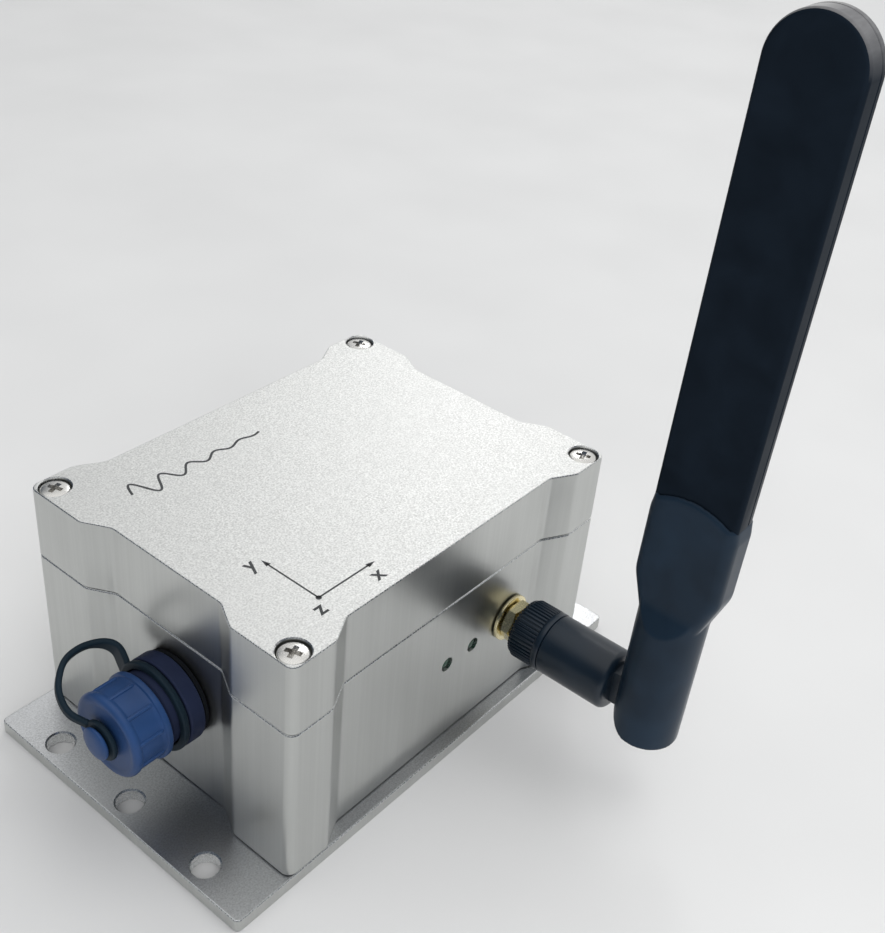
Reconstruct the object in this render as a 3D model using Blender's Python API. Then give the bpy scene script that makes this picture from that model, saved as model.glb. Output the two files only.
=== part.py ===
"""Wireless vibration sensor: aluminium box on a flanged plate, capped round connector, paddle antenna.

Frame: origin at the centre of the mounting plate's underside, +Z up, +X along the plate.
The -Y face carries the two lamps and the antenna socket, and the -X face carries the connector.
"""

import math

import bmesh
import bpy
from mathutils import Matrix, Vector

MM = 0.001
SEAT = 0.3 * MM                     # gap between pieces that seat on each other
FIT = 0.3 * MM                      # radial clearance round a screw, a shaft or a plug
OVERRUN = 1.0 * MM                  # how far a cutter runs past the face that it cuts

# Box
BOX_LENGTH = 90 * MM
BOX_WIDTH = 70 * MM
PLATE_THICKNESS = 3 * MM
SEAM_HEIGHT = 39.5 * MM
BOX_TOP = 55 * MM
RECESS_DEPTH = 3 * MM
POST_ON_LONG_SIDE = 10 * MM
PANEL_HALF_WIDTH = 14.5 * MM        # flat end wall to each side of its middle, for the connector's flange
STEP_RUN = 5.5 * MM
POST_ON_SHORT_SIDE = BOX_WIDTH / 2 - PANEL_HALF_WIDTH - STEP_RUN
POST_CORNER = 2 * MM
STEP_FILLET = 2.5 * MM
SIDE_WALL = 3.2 * MM
FLOOR = 3 * MM
LID_ROOF = 2.7 * MM
CAVITY_CORNER = 5 * MM
EDGE_BREAK = 0.4 * MM
CAVITY_LENGTH = BOX_LENGTH - 2 * (RECESS_DEPTH + SIDE_WALL)
CAVITY_WIDTH = BOX_WIDTH - 2 * (RECESS_DEPTH + SIDE_WALL)

# Mounting plate
FLANGE_REACH = 12.5 * MM
PLATE_LENGTH = BOX_LENGTH + 2 * FLANGE_REACH
PLATE_CORNER = 2.2 * MM
MOUNT_HOLES_PER_FLANGE = 3
MOUNT_HOLE_RADIUS = 2.75 * MM
MOUNT_HOLE_INSET = 4.5 * MM
MOUNT_HOLE_TO_SIDE = 13.5 * MM
MOUNT_HOLE_X = PLATE_LENGTH / 2 - MOUNT_HOLE_INSET
MOUNT_HOLE_PITCH = (BOX_WIDTH - 2 * MOUNT_HOLE_TO_SIDE) / (MOUNT_HOLES_PER_FLANGE - 1)

# Lid gasket
GASKET_WIDTH = 1.2 * MM
GASKET_HEIGHT = 0.7 * MM

# Electronics, on a board that fills the cavity's plan
BOARD_GAP = 1.8 * MM
BOARD_LENGTH = CAVITY_LENGTH - 2 * BOARD_GAP
BOARD_WIDTH = CAVITY_WIDTH - 2 * BOARD_GAP
BOARD_THICKNESS = 1.6 * MM
BOARD_CORNER = 2 * MM
BOARD_SCREW_LENGTH = 6 * MM
BOARD_SCREW_HEAD_HEIGHT = 1.8 * MM
STANDOFF_INSET = 3 * MM
STANDOFF_X = BOARD_LENGTH / 2 - STANDOFF_INSET
STANDOFF_Y = BOARD_WIDTH / 2 - STANDOFF_INSET
STANDOFF_FLATS = 5.5 * MM
STANDOFF_HEIGHT = 6.5 * MM
CELL_RADIUS = 13.1 * MM
CELL_END_ROOM = 24 * MM             # board length that the battery cell leaves free
CELL_LENGTH = BOARD_LENGTH - CELL_END_ROOM
CELL_CENTRE_X = 1.5 * MM
HOLDER_WALL = 1.5 * MM
HOLDER_FLOOR = 2 * MM
HOLDER_HEIGHT = 15 * MM
HOLDER_EDGE_GAP = 0.1 * MM
HOLDER_WIDTH = 2 * (CELL_RADIUS + SEAT + HOLDER_WALL)
CELL_CENTRE_Y = BOARD_WIDTH / 2 - HOLDER_EDGE_GAP - HOLDER_WIDTH / 2
FREE_STRIP = BOARD_WIDTH - HOLDER_EDGE_GAP - HOLDER_WIDTH
STRIP_CENTRE_Y = (FREE_STRIP - BOARD_WIDTH) / 2
SENSOR_SIDE = 0.58 * FREE_STRIP
SENSOR_HEIGHT = 5 * MM
SENSOR_PLACE = (-0.16 * BOARD_LENGTH, STRIP_CENTRE_Y)
RADIO_SIZE = (0.32 * BOARD_LENGTH, 0.62 * FREE_STRIP, 2.6 * MM)
RADIO_PLACE = (0.19 * BOARD_LENGTH, STRIP_CENTRE_Y)

# Screws
SCREW_RADIUS = 1.45 * MM
HEAD_SIDE_SHARE = 0.75              # share of a pan head's height that is straight-sided
HEAD_TOP_SHARE = 0.8                # share of its radius that is flat on top
LID_SCREW_INSET = 3.4 * MM
LID_SCREW_HEAD_RADIUS = 2.8 * MM
LID_SCREW_HEAD_HEIGHT = 1.9 * MM
LID_SCREW_SUNK = 0.3 * MM
LID_SCREW_LENGTH = 23 * MM
COUNTERBORE_RADIUS = 3.2 * MM
RECESS_ARM = 1.7 * MM
RECESS_WIDTH = 0.8 * MM
RECESS_IN_HEAD = 1.1 * MM
PLATE_SCREW_INSET_X = 12 * MM       # from the board's screws towards the middle
PLATE_SCREW_INSET_Y = 9 * MM
PLATE_SCREW_X = STANDOFF_X - PLATE_SCREW_INSET_X
PLATE_SCREW_Y = STANDOFF_Y - PLATE_SCREW_INSET_Y
PLATE_SCREW_LENGTH = 8 * MM
PLATE_BOSS_RADIUS = 4 * MM
PLATE_BOSS_HEIGHT = 4 * MM

# Antenna socket on the box, along its axis from the wall
SOCKET_TO_BOX_END = 24.1 * MM
SOCKET_X = BOX_LENGTH / 2 - SOCKET_TO_BOX_END
SOCKET_Z = 24 * MM
JACK_RADIUS = 3.1 * MM
JACK_BORE = 2.3 * MM
JACK_REACH = 10 * MM
JACK_FLANGE_RADIUS = 4.6 * MM
JACK_FLANGE = 1.8 * MM
JACK_TAIL = 6 * MM
INSULATOR_RADIUS = 2.1 * MM
INSULATOR_SUNK = 3 * MM
CONTACT_RADIUS = 0.9 * MM
CONTACT_BORE = 0.65 * MM
WASHER_RADIUS = 5.2 * MM
WASHER_THICKNESS = 0.7 * MM
NUT_FLATS = 8 * MM
NUT_THICKNESS = 2.3 * MM

# Lamps, in a row beside the socket
LAMP_RADIUS = 1.3 * MM
LAMP_FLANGE_RADIUS = 2.3 * MM
LAMP_FLANGE = 1.2 * MM
LAMP_SUNK = 0.3 * MM
LAMP_HEIGHT = 23.5 * MM
LAMP_PITCH = 8.1 * MM
LAMP_TO_SOCKET = 11.7 * MM
LAMP_PLACES_X = (SOCKET_X - LAMP_TO_SOCKET - LAMP_PITCH, SOCKET_X - LAMP_TO_SOCKET)

# Antenna plug and elbow
COLLAR_RADIUS = 6.5 * MM
COLLAR_START = 4.5 * MM
COLLAR_END = 12 * MM
COLLAR_BAND = 1.4 * MM
COLLAR_NOSE_RUN = 0.9 * MM
COLLAR_NOSE_DROP = 0.8 * MM
COLLAR_EDGE = 0.3 * MM
COLLAR_RIBS = 48
RIB_DEPTH = 0.35 * MM
COUPLING_FLATS = 8.6 * MM
PLUG_FLANGE = 0.7 * MM
PLUG_STEM_RADIUS = 2.5 * MM
PLUG_BORE = 1.6 * MM
PLUG_STEM_LENGTH = 7 * MM
PIN_RADIUS = 0.45 * MM
BARREL_RADIUS = 6.4 * MM
BARREL_END = 27.5 * MM
BARREL_CHAMFER = 1.2 * MM
BARREL_CHAMFER_START = 0.35         # share of the chamfer that is steeper
BARREL_BACK_EDGE = 0.3 * MM
HINGE_REACH = 35.4 * MM
TONGUE_THICKNESS = 4.4 * MM
TONGUE_NECK = 4 * MM
TONGUE_EYE = 4.9 * MM
HINGE_PIN_RADIUS = 1.3 * MM
TILT_AT_REST = math.radians(1.2)    # the elbow stands a little short of square

# Antenna, from its hinge
KNUCKLE_RADIUS = 6.7 * MM
KNUCKLE_TOP = 27 * MM
KNUCKLE_SLOT_GAP = 0.4 * MM
PIN_END_WALL = 1.2 * MM
PIN_SUNK = 0.3 * MM
LEDGE_DROP = 6.3 * MM
LEDGE_TOP_DROP = 0.5 * MM
LEDGE_IN_PAD = 0.6 * MM
PAD_THICKNESS = 7.8 * MM
PAD_EDGE = 1.4 * MM
PAD_HALF_WIDTH = 8.75 * MM
PAD_ROOT_HALF_WIDTH = 4.7 * MM
PAD_ROOT_HEIGHT = 18.5 * MM
PAD_FILLET = 6 * MM
PAD_RIM_FILLET = 2 * MM
PAD_NECK_HEIGHT = 24.5 * MM
PAD_SHOULDER_HEIGHT = 30.6 * MM
PAD_RIM_HEIGHT = 47.9 * MM
PAD_RIM_SLOPE = 2.9 * MM
PAD_ARCH = 2.4 * MM
PAD_CHEEK_HEIGHT = PAD_RIM_HEIGHT - PAD_RIM_SLOPE
PAD_CROWN_HEIGHT = PAD_RIM_HEIGHT + PAD_ARCH
BLADE_HALF_WIDTH = 8.35 * MM
BLADE_THICKNESS = 6 * MM
BLADE_TIP_HEIGHT = 133.1 * MM
BLADE_PARTING = 1.0 * MM
BLADE_EDGE = 0.6 * MM
BLADE_WALL = 1.0 * MM
TANG_HALF_WIDTH = 7.6 * MM
TANG_FOOT_SHARE = 0.312             # of the way from the pad's shoulder up to its rim
TANG_FOOT_HEIGHT = PAD_SHOULDER_HEIGHT + TANG_FOOT_SHARE * (PAD_RIM_HEIGHT - PAD_SHOULDER_HEIGHT)
RADIATOR_THICKNESS = 0.8 * MM
RADIATOR_END_GAP = 3 * MM

# Round connector and its cap, along its axis from the wall
PORT_Y = -2.3 * MM
PORT_Z = 26.2 * MM
PORT_SEAL = 0.8 * MM
PORT_FLANGE_RADIUS = 9.3 * MM
PORT_FLANGE_END = 4.7 * MM
PORT_NECK_RADIUS = 7.6 * MM
PORT_REACH = 14.2 * MM
PORT_REAR_RADIUS = 6.7 * MM
PORT_REAR_REACH = 9 * MM
PORT_BORE = 5.6 * MM
PORT_NUT_FLATS = 18 * MM
PORT_NUT_THICKNESS = 3.6 * MM
INSERT_FACE = 4.6 * MM
CONTACT_PIN_RADIUS = 0.6 * MM
CONTACT_PIN_CIRCLE = 2.6 * MM
CONTACT_PIN_REACH = 9.5 * MM
CONTACT_PINS = 4
CAP_SKIRT = 8.4 * MM
CAP_RIM_RADIUS = 8.8 * MM
CAP_RIM = 1.2 * MM
CAP_RADIUS = 8.55 * MM
CAP_RIM_STEP = 0.1 * MM
CAP_GRIPS = 10
CAP_GRIP_DEPTH = 0.4 * MM
CAP_GRIP_TO_RIM = 0.9 * MM
CAP_GRIP_TO_EDGE = 0.5 * MM
CAP_GRIP_RAMP = 0.3 * MM
CAP_FACE = 16.6 * MM
CAP_WALL = 1.1 * MM
CAP_EDGE = 0.9 * MM
CAP_EDGE_START = 0.3                # share of the edge that is steeper
CAP_SEAL = 0.7 * MM
CAP_KNOB_RADIUS = 1.9 * MM
CAP_KNOB_HEAD_RADIUS = 3.3 * MM
CAP_KNOB_HEAD = 1.2 * MM
EYELET_THICKNESS = 1.0 * MM
EYELET_RADIUS = 4.5 * MM
TETHER_RING_RADIUS = 9.3 * MM
TETHER_RING_WIDTH = 1.3 * MM
TETHER_WIDTH = 1.8 * MM
TETHER_THICKNESS = 1.2 * MM
TETHER_OVERLAP = 0.7 * MM
TETHER_REACH = 17 * MM
TETHER_CLOCK = math.radians(25)     # direction of the tether's loop, from +Y towards +Z
TETHER_LOOP = (                     # share of the reach from the axis, share of the way from ring to eyelet
    (0.676, -0.077),
    (0.859, -0.017),
    (0.982, 0.221),
    (1.0, 0.562),
    (0.906, 0.915),
    (0.741, 1.119),
    (0.553, 1.187),
    (0.388, 1.119),
)

# Levels and faces that follow from the sizes above
BASE_BOTTOM = PLATE_THICKNESS + SEAT
BASE_FLOOR = BASE_BOTTOM + FLOOR
BASE_TOP = SEAM_HEIGHT - SEAT / 2
LID_BOTTOM = SEAM_HEIGHT + SEAT / 2
FRONT_WALL = -(BOX_WIDTH / 2 - RECESS_DEPTH)
SIDE_FACE = -(BOX_LENGTH / 2 - RECESS_DEPTH)
LID_SCREW_X = BOX_LENGTH / 2 - LID_SCREW_INSET
LID_SCREW_Y = BOX_WIDTH / 2 - LID_SCREW_INSET
BOARD_BOTTOM = BASE_FLOOR + STANDOFF_HEIGHT + 2 * SEAT
BOARD_TOP = BOARD_BOTTOM + BOARD_THICKNESS
SOCKET_PLACE = Vector((SOCKET_X, FRONT_WALL, SOCKET_Z))
HINGE_PLACE = Vector((SOCKET_X, FRONT_WALL - HINGE_REACH, SOCKET_Z))
PORT_PLACE = Vector((SIDE_FACE, PORT_Y, PORT_Z))
OUT_FRONT = Vector((0, -1, 0))
OUT_SIDE = Vector((-1, 0, 0))
UP = Vector((0, 0, 1))
DOWN = Vector((0, 0, -1))


def clear_scene():
    for obj in list(bpy.data.objects):
        bpy.data.objects.remove(obj, do_unlink=True)


def finish(name, colour, roughness, metallic=0.0):
    """A Principled material."""
    made = bpy.data.materials.new(name)
    made.use_nodes = True
    shader = made.node_tree.nodes["Principled BSDF"]
    shader.inputs["Base Color"].default_value = (*colour, 1)
    shader.inputs["Roughness"].default_value = roughness
    shader.inputs["Metallic"].default_value = metallic
    return made


def add(name, bm, coat, place=(0, 0, 0), towards=UP, parent=None, smooth=35):
    """Link a mesh as an object that stands at a place, with its own Z turned towards a direction."""
    bmesh.ops.recalc_face_normals(bm, faces=bm.faces)
    mesh = bpy.data.meshes.new(name)
    bm.to_mesh(mesh)
    bm.free()
    mesh.materials.append(coat)
    mesh.shade_smooth()
    mesh.set_sharp_from_angle(angle=math.radians(smooth))
    return place_mesh(name, mesh, place, towards, parent)


def place_mesh(name, mesh, place=(0, 0, 0), towards=UP, parent=None):
    obj = bpy.data.objects.new(name, mesh)
    bpy.context.collection.objects.link(obj)
    obj.location = place
    obj.rotation_euler = UP.rotation_difference(towards).to_euler()
    obj.parent = parent
    return obj


def boolean(target, tool, operation):
    """Cut a tool out of a target, or join it on, and keep the tool as a hidden guide."""
    tool.hide_render = True
    tool.display_type = "WIRE"
    step = target.modifiers.new(f"{operation.lower()} {tool.name}", "BOOLEAN")
    step.operation = operation
    step.solver = "EXACT"
    step.object = tool


def cut(target, tool):
    boolean(target, tool, "DIFFERENCE")


def join(target, tool):
    boolean(target, tool, "UNION")


def settle(obj):
    """Turn an object's modifiers into mesh, so that copies can share the result."""
    bpy.context.view_layer.update()
    shape = obj.evaluated_get(bpy.context.evaluated_depsgraph_get())
    mesh = bpy.data.meshes.new_from_object(shape)
    obj.modifiers.clear()
    obj.data = mesh
    return mesh


def rounded_polygon(corners, step=30):
    """Outline of a polygon whose corners, each (x, y, radius), become arcs of about step degrees a side."""
    points = []
    for index, (x, y, radius) in enumerate(corners):
        corner = Vector((x, y))
        before = Vector(corners[index - 1][:2]) - corner
        after = Vector(corners[(index + 1) % len(corners)][:2]) - corner
        if radius <= 0:
            points.append(tuple(corner))
            continue
        half_angle = before.angle(after) / 2
        reach = radius / math.tan(half_angle)
        start = corner + before.normalized() * reach
        end = corner + after.normalized() * reach
        middle = (before.normalized() + after.normalized()).normalized()
        centre = corner + middle * (radius / math.sin(half_angle))
        sweep = (start - centre).angle_signed(end - centre)
        segments = max(1, math.ceil(abs(math.degrees(sweep)) / step - 0.01))
        for number in range(segments + 1):
            turn = Matrix.Rotation(-sweep * number / segments, 2)
            points.append(tuple(centre + turn @ (start - centre)))
    return points


def rounded_rectangle(length, width, radius, step=30):
    x = length / 2
    y = width / 2
    corners = [(x, y, radius), (-x, y, radius), (-x, -y, radius), (x, -y, radius)]
    return rounded_polygon(corners, step)


def regular_polygon(radius, sides, turn=0.0):
    angles = [turn + math.tau * number / sides for number in range(sides)]
    return [(radius * math.cos(angle), radius * math.sin(angle)) for angle in angles]


def hexagon(across_flats):
    return regular_polygon(across_flats / math.sqrt(3), 6)


def prism(outline, low, high):
    """A flat outline in X and Y, extruded from one level to another."""
    bm = bmesh.new()
    face = bm.faces.new([bm.verts.new((x, y, low)) for x, y in outline])
    grown = bmesh.ops.extrude_face_region(bm, geom=[face])
    top = [item for item in grown["geom"] if isinstance(item, bmesh.types.BMVert)]
    bmesh.ops.translate(bm, verts=top, vec=(0, 0, high - low))
    return bm


def upright(bm):
    """Turn a prism so that its outline lies in Y and Z and its length runs along X."""
    to_side = Matrix(((0, 0, 1, 0), (1, 0, 0, 0), (0, 1, 0, 0), (0, 0, 0, 1)))
    bmesh.ops.transform(bm, matrix=to_side, verts=bm.verts)
    return bm


def turned(profile, steps=32):
    """Spin a profile of (radius, height) pairs about Z. It is open where it meets the axis."""
    bm = bmesh.new()
    chain = [bm.verts.new((radius, 0, height)) for radius, height in profile]
    links = [bm.edges.new(pair) for pair in zip(chain, chain[1:])]
    on_axis = profile[0][0] == 0 and profile[-1][0] == 0
    if not on_axis:
        links.append(bm.edges.new((chain[-1], chain[0])))
    bmesh.ops.spin(bm, geom=chain + links, axis=(0, 0, 1), cent=(0, 0, 0), angle=math.tau, steps=steps)
    bmesh.ops.remove_doubles(bm, verts=bm.verts, dist=0.0001 * MM)
    return bm


def lofted(rings):
    """Skin a closed body over rings of equal point counts."""
    bm = bmesh.new()
    rows = [[bm.verts.new(point) for point in ring] for ring in rings]
    for lower, upper in zip(rows, rows[1:]):
        count = len(lower)
        for index in range(count):
            following = (index + 1) % count
            bm.faces.new((lower[index], lower[following], upper[following], upper[index]))
    bm.faces.new(rows[0])
    bm.faces.new(rows[-1])
    return bm


def at_places(bm, places, towards=UP):
    """Repeat a mesh at each place, all turned towards one direction."""
    pattern = bpy.data.meshes.new("pattern")
    bm.to_mesh(pattern)
    bm.free()
    turn = UP.rotation_difference(towards).to_matrix().to_4x4()
    group = bmesh.new()
    for place in places:
        start = len(group.verts)
        group.from_mesh(pattern)
        group.verts.ensure_lookup_table()
        fresh = group.verts[start:]
        bmesh.ops.transform(group, matrix=Matrix.Translation(place) @ turn, verts=fresh)
    bpy.data.meshes.remove(pattern)
    return group


def rod(radius, low, high, steps=24):
    return turned([(0, low), (radius, low), (radius, high), (0, high)], steps)


def tube(inner, outer, low, high, steps=32):
    return turned([(inner, low), (outer, low), (outer, high), (inner, high)], steps)


def bevel_edges(bm, width, segments, wanted):
    edges = [edge for edge in bm.edges if wanted(edge)]
    bmesh.ops.bevel(bm, geom=edges, offset=width, segments=segments, profile=0.5, affect="EDGES")
    return bm


def level_edges(height):
    """Test for the edges that lie at one height."""
    def wanted(edge):
        return all(abs(vert.co.z - height) < 0.001 * MM for vert in edge.verts)
    return wanted


def face_edges(distance):
    """Test for the edges that lie in one plane across X."""
    def wanted(edge):
        return all(abs(vert.co.x - distance) < 0.001 * MM for vert in edge.verts)
    return wanted


def four_corners(x, y, z=0.0):
    return [Vector((side * x, end * y, z)) for side in (-1, 1) for end in (-1, 1)]


def box_outline():
    """Notched plan of the box: full corner posts, and a recessed panel between them on each side."""
    x = BOX_LENGTH / 2
    y = BOX_WIDTH / 2
    panel_x = x - POST_ON_LONG_SIDE
    panel_y = y - POST_ON_SHORT_SIDE
    quarter = [
        (x - RECESS_DEPTH, panel_y - STEP_RUN, STEP_FILLET),
        (x, panel_y, STEP_FILLET),
        (x, y, POST_CORNER),
        (panel_x, y, STEP_FILLET),
        (panel_x - STEP_RUN, y - RECESS_DEPTH, STEP_FILLET),
    ]
    left = [(-px, py, radius) for px, py, radius in reversed(quarter)]
    upper = quarter + left
    lower = [(-px, -py, radius) for px, py, radius in upper]
    return rounded_polygon(upper + lower, step=22.5)


def cavity_outline():
    return rounded_rectangle(CAVITY_LENGTH, CAVITY_WIDTH, CAVITY_CORNER)


def cross_recess(name, screw):
    """Cutter for a cross-shaped driver recess in the top of a screw's head."""
    arm = RECESS_ARM
    half = RECESS_WIDTH / 2
    outline = [
        (arm, -half), (arm, half), (half, half), (half, arm), (-half, arm), (-half, half),
        (-arm, half), (-arm, -half), (-half, -half), (-half, -arm), (half, -arm), (half, -half),
    ]
    return add(name, prism(outline, -RECESS_IN_HEAD, OVERRUN), GUIDE, parent=screw)


def make_screw_set(names, places, head_radius, head_height, length, towards, countersunk=False):
    """Identical cross-recess screws that share one mesh. Each origin is at the top of its head."""
    crown = head_height * (1 - HEAD_SIDE_SHARE)
    shank = [
        (0, -head_height - length),
        (SCREW_RADIUS, -head_height - length),
        (SCREW_RADIUS, -head_height),
    ]
    if countersunk:
        head = [(head_radius, -crown), (head_radius, 0)]
    else:
        head = [(head_radius, -head_height), (head_radius, -crown), (head_radius * HEAD_TOP_SHARE, 0)]
    first = add(names[0], turned(shank + head + [(0, 0)], 14), STEEL, places[0], towards)
    recess = cross_recess("cut_" + names[0], first)
    cut(first, recess)
    shared = settle(first)
    for name, place in zip(names[1:], places[1:]):
        place_mesh(name, shared, place, towards)


def numbered(name, count):
    return [f"{name}_{number + 1}" for number in range(count)]


def make_mounting_plate():
    outline = rounded_rectangle(PLATE_LENGTH, BOX_WIDTH, PLATE_CORNER, step=22.5)
    bm = bevel_edges(prism(outline, 0, PLATE_THICKNESS), EDGE_BREAK, 1, level_edges(PLATE_THICKNESS))
    plate = add("mounting_plate", bm, BLASTED)
    middle = (MOUNT_HOLES_PER_FLANGE - 1) / 2
    rows = [(number - middle) * MOUNT_HOLE_PITCH for number in range(MOUNT_HOLES_PER_FLANGE)]
    places = [Vector((side * MOUNT_HOLE_X, y, 0)) for side in (-1, 1) for y in rows]
    hole = rod(MOUNT_HOLE_RADIUS, -OVERRUN, PLATE_THICKNESS + OVERRUN, 24)
    cut(plate, add("cut_mount_holes", at_places(hole, places), GUIDE))
    sink = LID_SCREW_HEAD_RADIUS + FIT
    shaft = SCREW_RADIUS + FIT
    countersink = turned([
        (0, -OVERRUN),
        (sink, -OVERRUN),
        (sink, LID_SCREW_HEAD_HEIGHT * (1 - HEAD_SIDE_SHARE) + SEAT),
        (shaft, LID_SCREW_HEAD_HEIGHT + SEAT),
        (shaft, PLATE_THICKNESS + OVERRUN),
        (0, PLATE_THICKNESS + OVERRUN),
    ], 16)
    places = four_corners(PLATE_SCREW_X, PLATE_SCREW_Y)
    cut(plate, add("cut_plate_screw_holes", at_places(countersink, places), GUIDE))
    make_screw_set(numbered("plate_screw", 4), four_corners(PLATE_SCREW_X, PLATE_SCREW_Y, SEAT),
                   LID_SCREW_HEAD_RADIUS, LID_SCREW_HEAD_HEIGHT, PLATE_SCREW_LENGTH - LID_SCREW_HEAD_HEIGHT,
                   DOWN, countersunk=True)


def make_base_housing():
    bm = prism(box_outline(), BASE_BOTTOM, BASE_TOP)
    bevel_edges(bm, EDGE_BREAK, 1, level_edges(BASE_TOP))
    base = add("base_housing", bm, SATIN)
    cut(base, add("cut_base_cavity", prism(cavity_outline(), BASE_FLOOR, BASE_TOP + OVERRUN), GUIDE))
    boss = rod(PLATE_BOSS_RADIUS, BASE_BOTTOM + FLOOR / 2, BASE_FLOOR + PLATE_BOSS_HEIGHT, 16)
    places = four_corners(PLATE_SCREW_X, PLATE_SCREW_Y)
    join(base, add("join_floor_bosses", at_places(boss, places), GUIDE))
    tapped = rod(SCREW_RADIUS + FIT, BASE_BOTTOM - OVERRUN, PLATE_SCREW_LENGTH + 2 * SEAT, 16)
    cut(base, add("cut_plate_screw_threads", at_places(tapped, places), GUIDE))
    deepest = BOX_TOP - LID_SCREW_SUNK - LID_SCREW_HEAD_HEIGHT - LID_SCREW_LENGTH - SEAT
    tapped = rod(SCREW_RADIUS + FIT, deepest, BASE_TOP + OVERRUN, 16)
    places = four_corners(LID_SCREW_X, LID_SCREW_Y)
    cut(base, add("cut_lid_screw_threads", at_places(tapped, places), GUIDE))
    cut(base, add("cut_gasket_groove", gasket_mesh(FIT, BASE_TOP - GASKET_HEIGHT - SEAT, BASE_TOP + OVERRUN), GUIDE))
    wall = rod(JACK_RADIUS + FIT, -OVERRUN, SIDE_WALL + OVERRUN)
    cut(base, add("cut_socket_hole", wall, GUIDE, SOCKET_PLACE, -OUT_FRONT))
    wall = rod(LAMP_RADIUS + FIT, -OVERRUN, SIDE_WALL + OVERRUN)
    places = [Vector((x, FRONT_WALL, LAMP_HEIGHT)) for x in LAMP_PLACES_X]
    cut(base, add("cut_lamp_holes", at_places(wall, places, -OUT_FRONT), GUIDE))
    wall = rod(PORT_REAR_RADIUS + FIT, -OVERRUN, SIDE_WALL + OVERRUN, 32)
    cut(base, add("cut_port_hole", wall, GUIDE, PORT_PLACE, -OUT_SIDE))


def gasket_mesh(margin, low, high):
    """Closed ring that runs round the cavity, between its edge and the lid screws."""
    offset = (SIDE_WALL - GASKET_WIDTH) / 2
    bm = bmesh.new()
    loops = []
    for reach in (offset - margin, offset + GASKET_WIDTH + margin):
        outline = rounded_rectangle(CAVITY_LENGTH + 2 * reach, CAVITY_WIDTH + 2 * reach, CAVITY_CORNER + reach)
        for level in (low, high):
            loops.append([bm.verts.new((x, y, level)) for x, y in outline])
    order = [loops[0], loops[1], loops[3], loops[2]]
    for index, loop in enumerate(order):
        following = order[(index + 1) % 4]
        for place in range(len(loop)):
            beside = (place + 1) % len(loop)
            bm.faces.new((loop[place], loop[beside], following[beside], following[place]))
    return bm


def make_lid():
    bm = prism(box_outline(), LID_BOTTOM, BOX_TOP)
    bevel_edges(bm, EDGE_BREAK, 1, level_edges(BOX_TOP))
    bevel_edges(bm, EDGE_BREAK, 1, level_edges(LID_BOTTOM))
    lid = add("lid", bm, BLASTED)
    cavity = prism(cavity_outline(), LID_BOTTOM - OVERRUN, BOX_TOP - LID_ROOF)
    cut(lid, add("cut_lid_cavity", cavity, GUIDE))
    head_floor = BOX_TOP - LID_SCREW_SUNK - LID_SCREW_HEAD_HEIGHT - SEAT
    bore = turned([
        (0, LID_BOTTOM - OVERRUN),
        (SCREW_RADIUS + FIT, LID_BOTTOM - OVERRUN),
        (SCREW_RADIUS + FIT, head_floor),
        (COUNTERBORE_RADIUS, head_floor),
        (COUNTERBORE_RADIUS, BOX_TOP + OVERRUN),
        (0, BOX_TOP + OVERRUN),
    ], 20)
    cut(lid, add("cut_lid_screw_holes", at_places(bore, four_corners(LID_SCREW_X, LID_SCREW_Y)), GUIDE))
    add("lid_gasket", gasket_mesh(0, BASE_TOP - GASKET_HEIGHT, BASE_TOP), RUBBER)
    places = four_corners(LID_SCREW_X, LID_SCREW_Y, BOX_TOP - LID_SCREW_SUNK)
    make_screw_set(numbered("lid_screw", 4), places, LID_SCREW_HEAD_RADIUS, LID_SCREW_HEAD_HEIGHT,
                   LID_SCREW_LENGTH, UP)


def make_electronics():
    places = four_corners(STANDOFF_X, STANDOFF_Y, BASE_FLOOR + SEAT)
    pillar = add("board_standoff_1", prism(hexagon(STANDOFF_FLATS), 0, STANDOFF_HEIGHT), BRASS, places[0])
    tapped = rod(SCREW_RADIUS + FIT, STANDOFF_HEIGHT - BOARD_SCREW_LENGTH, STANDOFF_HEIGHT + OVERRUN, 14)
    tool = add("cut_standoff_thread", tapped, GUIDE)
    tool.parent = pillar
    cut(pillar, tool)
    shared = settle(pillar)
    for name, place in zip(numbered("board_standoff", 4)[1:], places[1:]):
        place_mesh(name, shared, place)
    outline = rounded_rectangle(BOARD_LENGTH, BOARD_WIDTH, BOARD_CORNER)
    board = add("main_board", prism(outline, BOARD_BOTTOM, BOARD_TOP), BOARD_GREEN)
    hole = rod(SCREW_RADIUS + FIT, BOARD_BOTTOM - OVERRUN, BOARD_TOP + OVERRUN, 14)
    cut(board, add("cut_board_holes", at_places(hole, four_corners(STANDOFF_X, STANDOFF_Y)), GUIDE))
    head_top = BOARD_TOP + SEAT + BOARD_SCREW_HEAD_HEIGHT
    make_screw_set(numbered("board_screw", 4), four_corners(STANDOFF_X, STANDOFF_Y, head_top),
                   LID_SCREW_HEAD_RADIUS, BOARD_SCREW_HEAD_HEIGHT, BOARD_SCREW_LENGTH, UP)
    on_board = BOARD_TOP + SEAT
    block = prism(rounded_rectangle(SENSOR_SIDE, SENSOR_SIDE, BOARD_CORNER / 2), 0, SENSOR_HEIGHT)
    bevel_edges(block, EDGE_BREAK, 1, level_edges(SENSOR_HEIGHT))
    add("accelerometer", block, PLASTIC, (*SENSOR_PLACE, on_board))
    length, width, height = RADIO_SIZE
    can = prism(rounded_rectangle(length, width, BOARD_CORNER / 2), 0, height)
    bevel_edges(can, EDGE_BREAK, 1, level_edges(height))
    add("radio_module", can, STEEL, (*RADIO_PLACE, on_board))
    make_battery(on_board)


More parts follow.
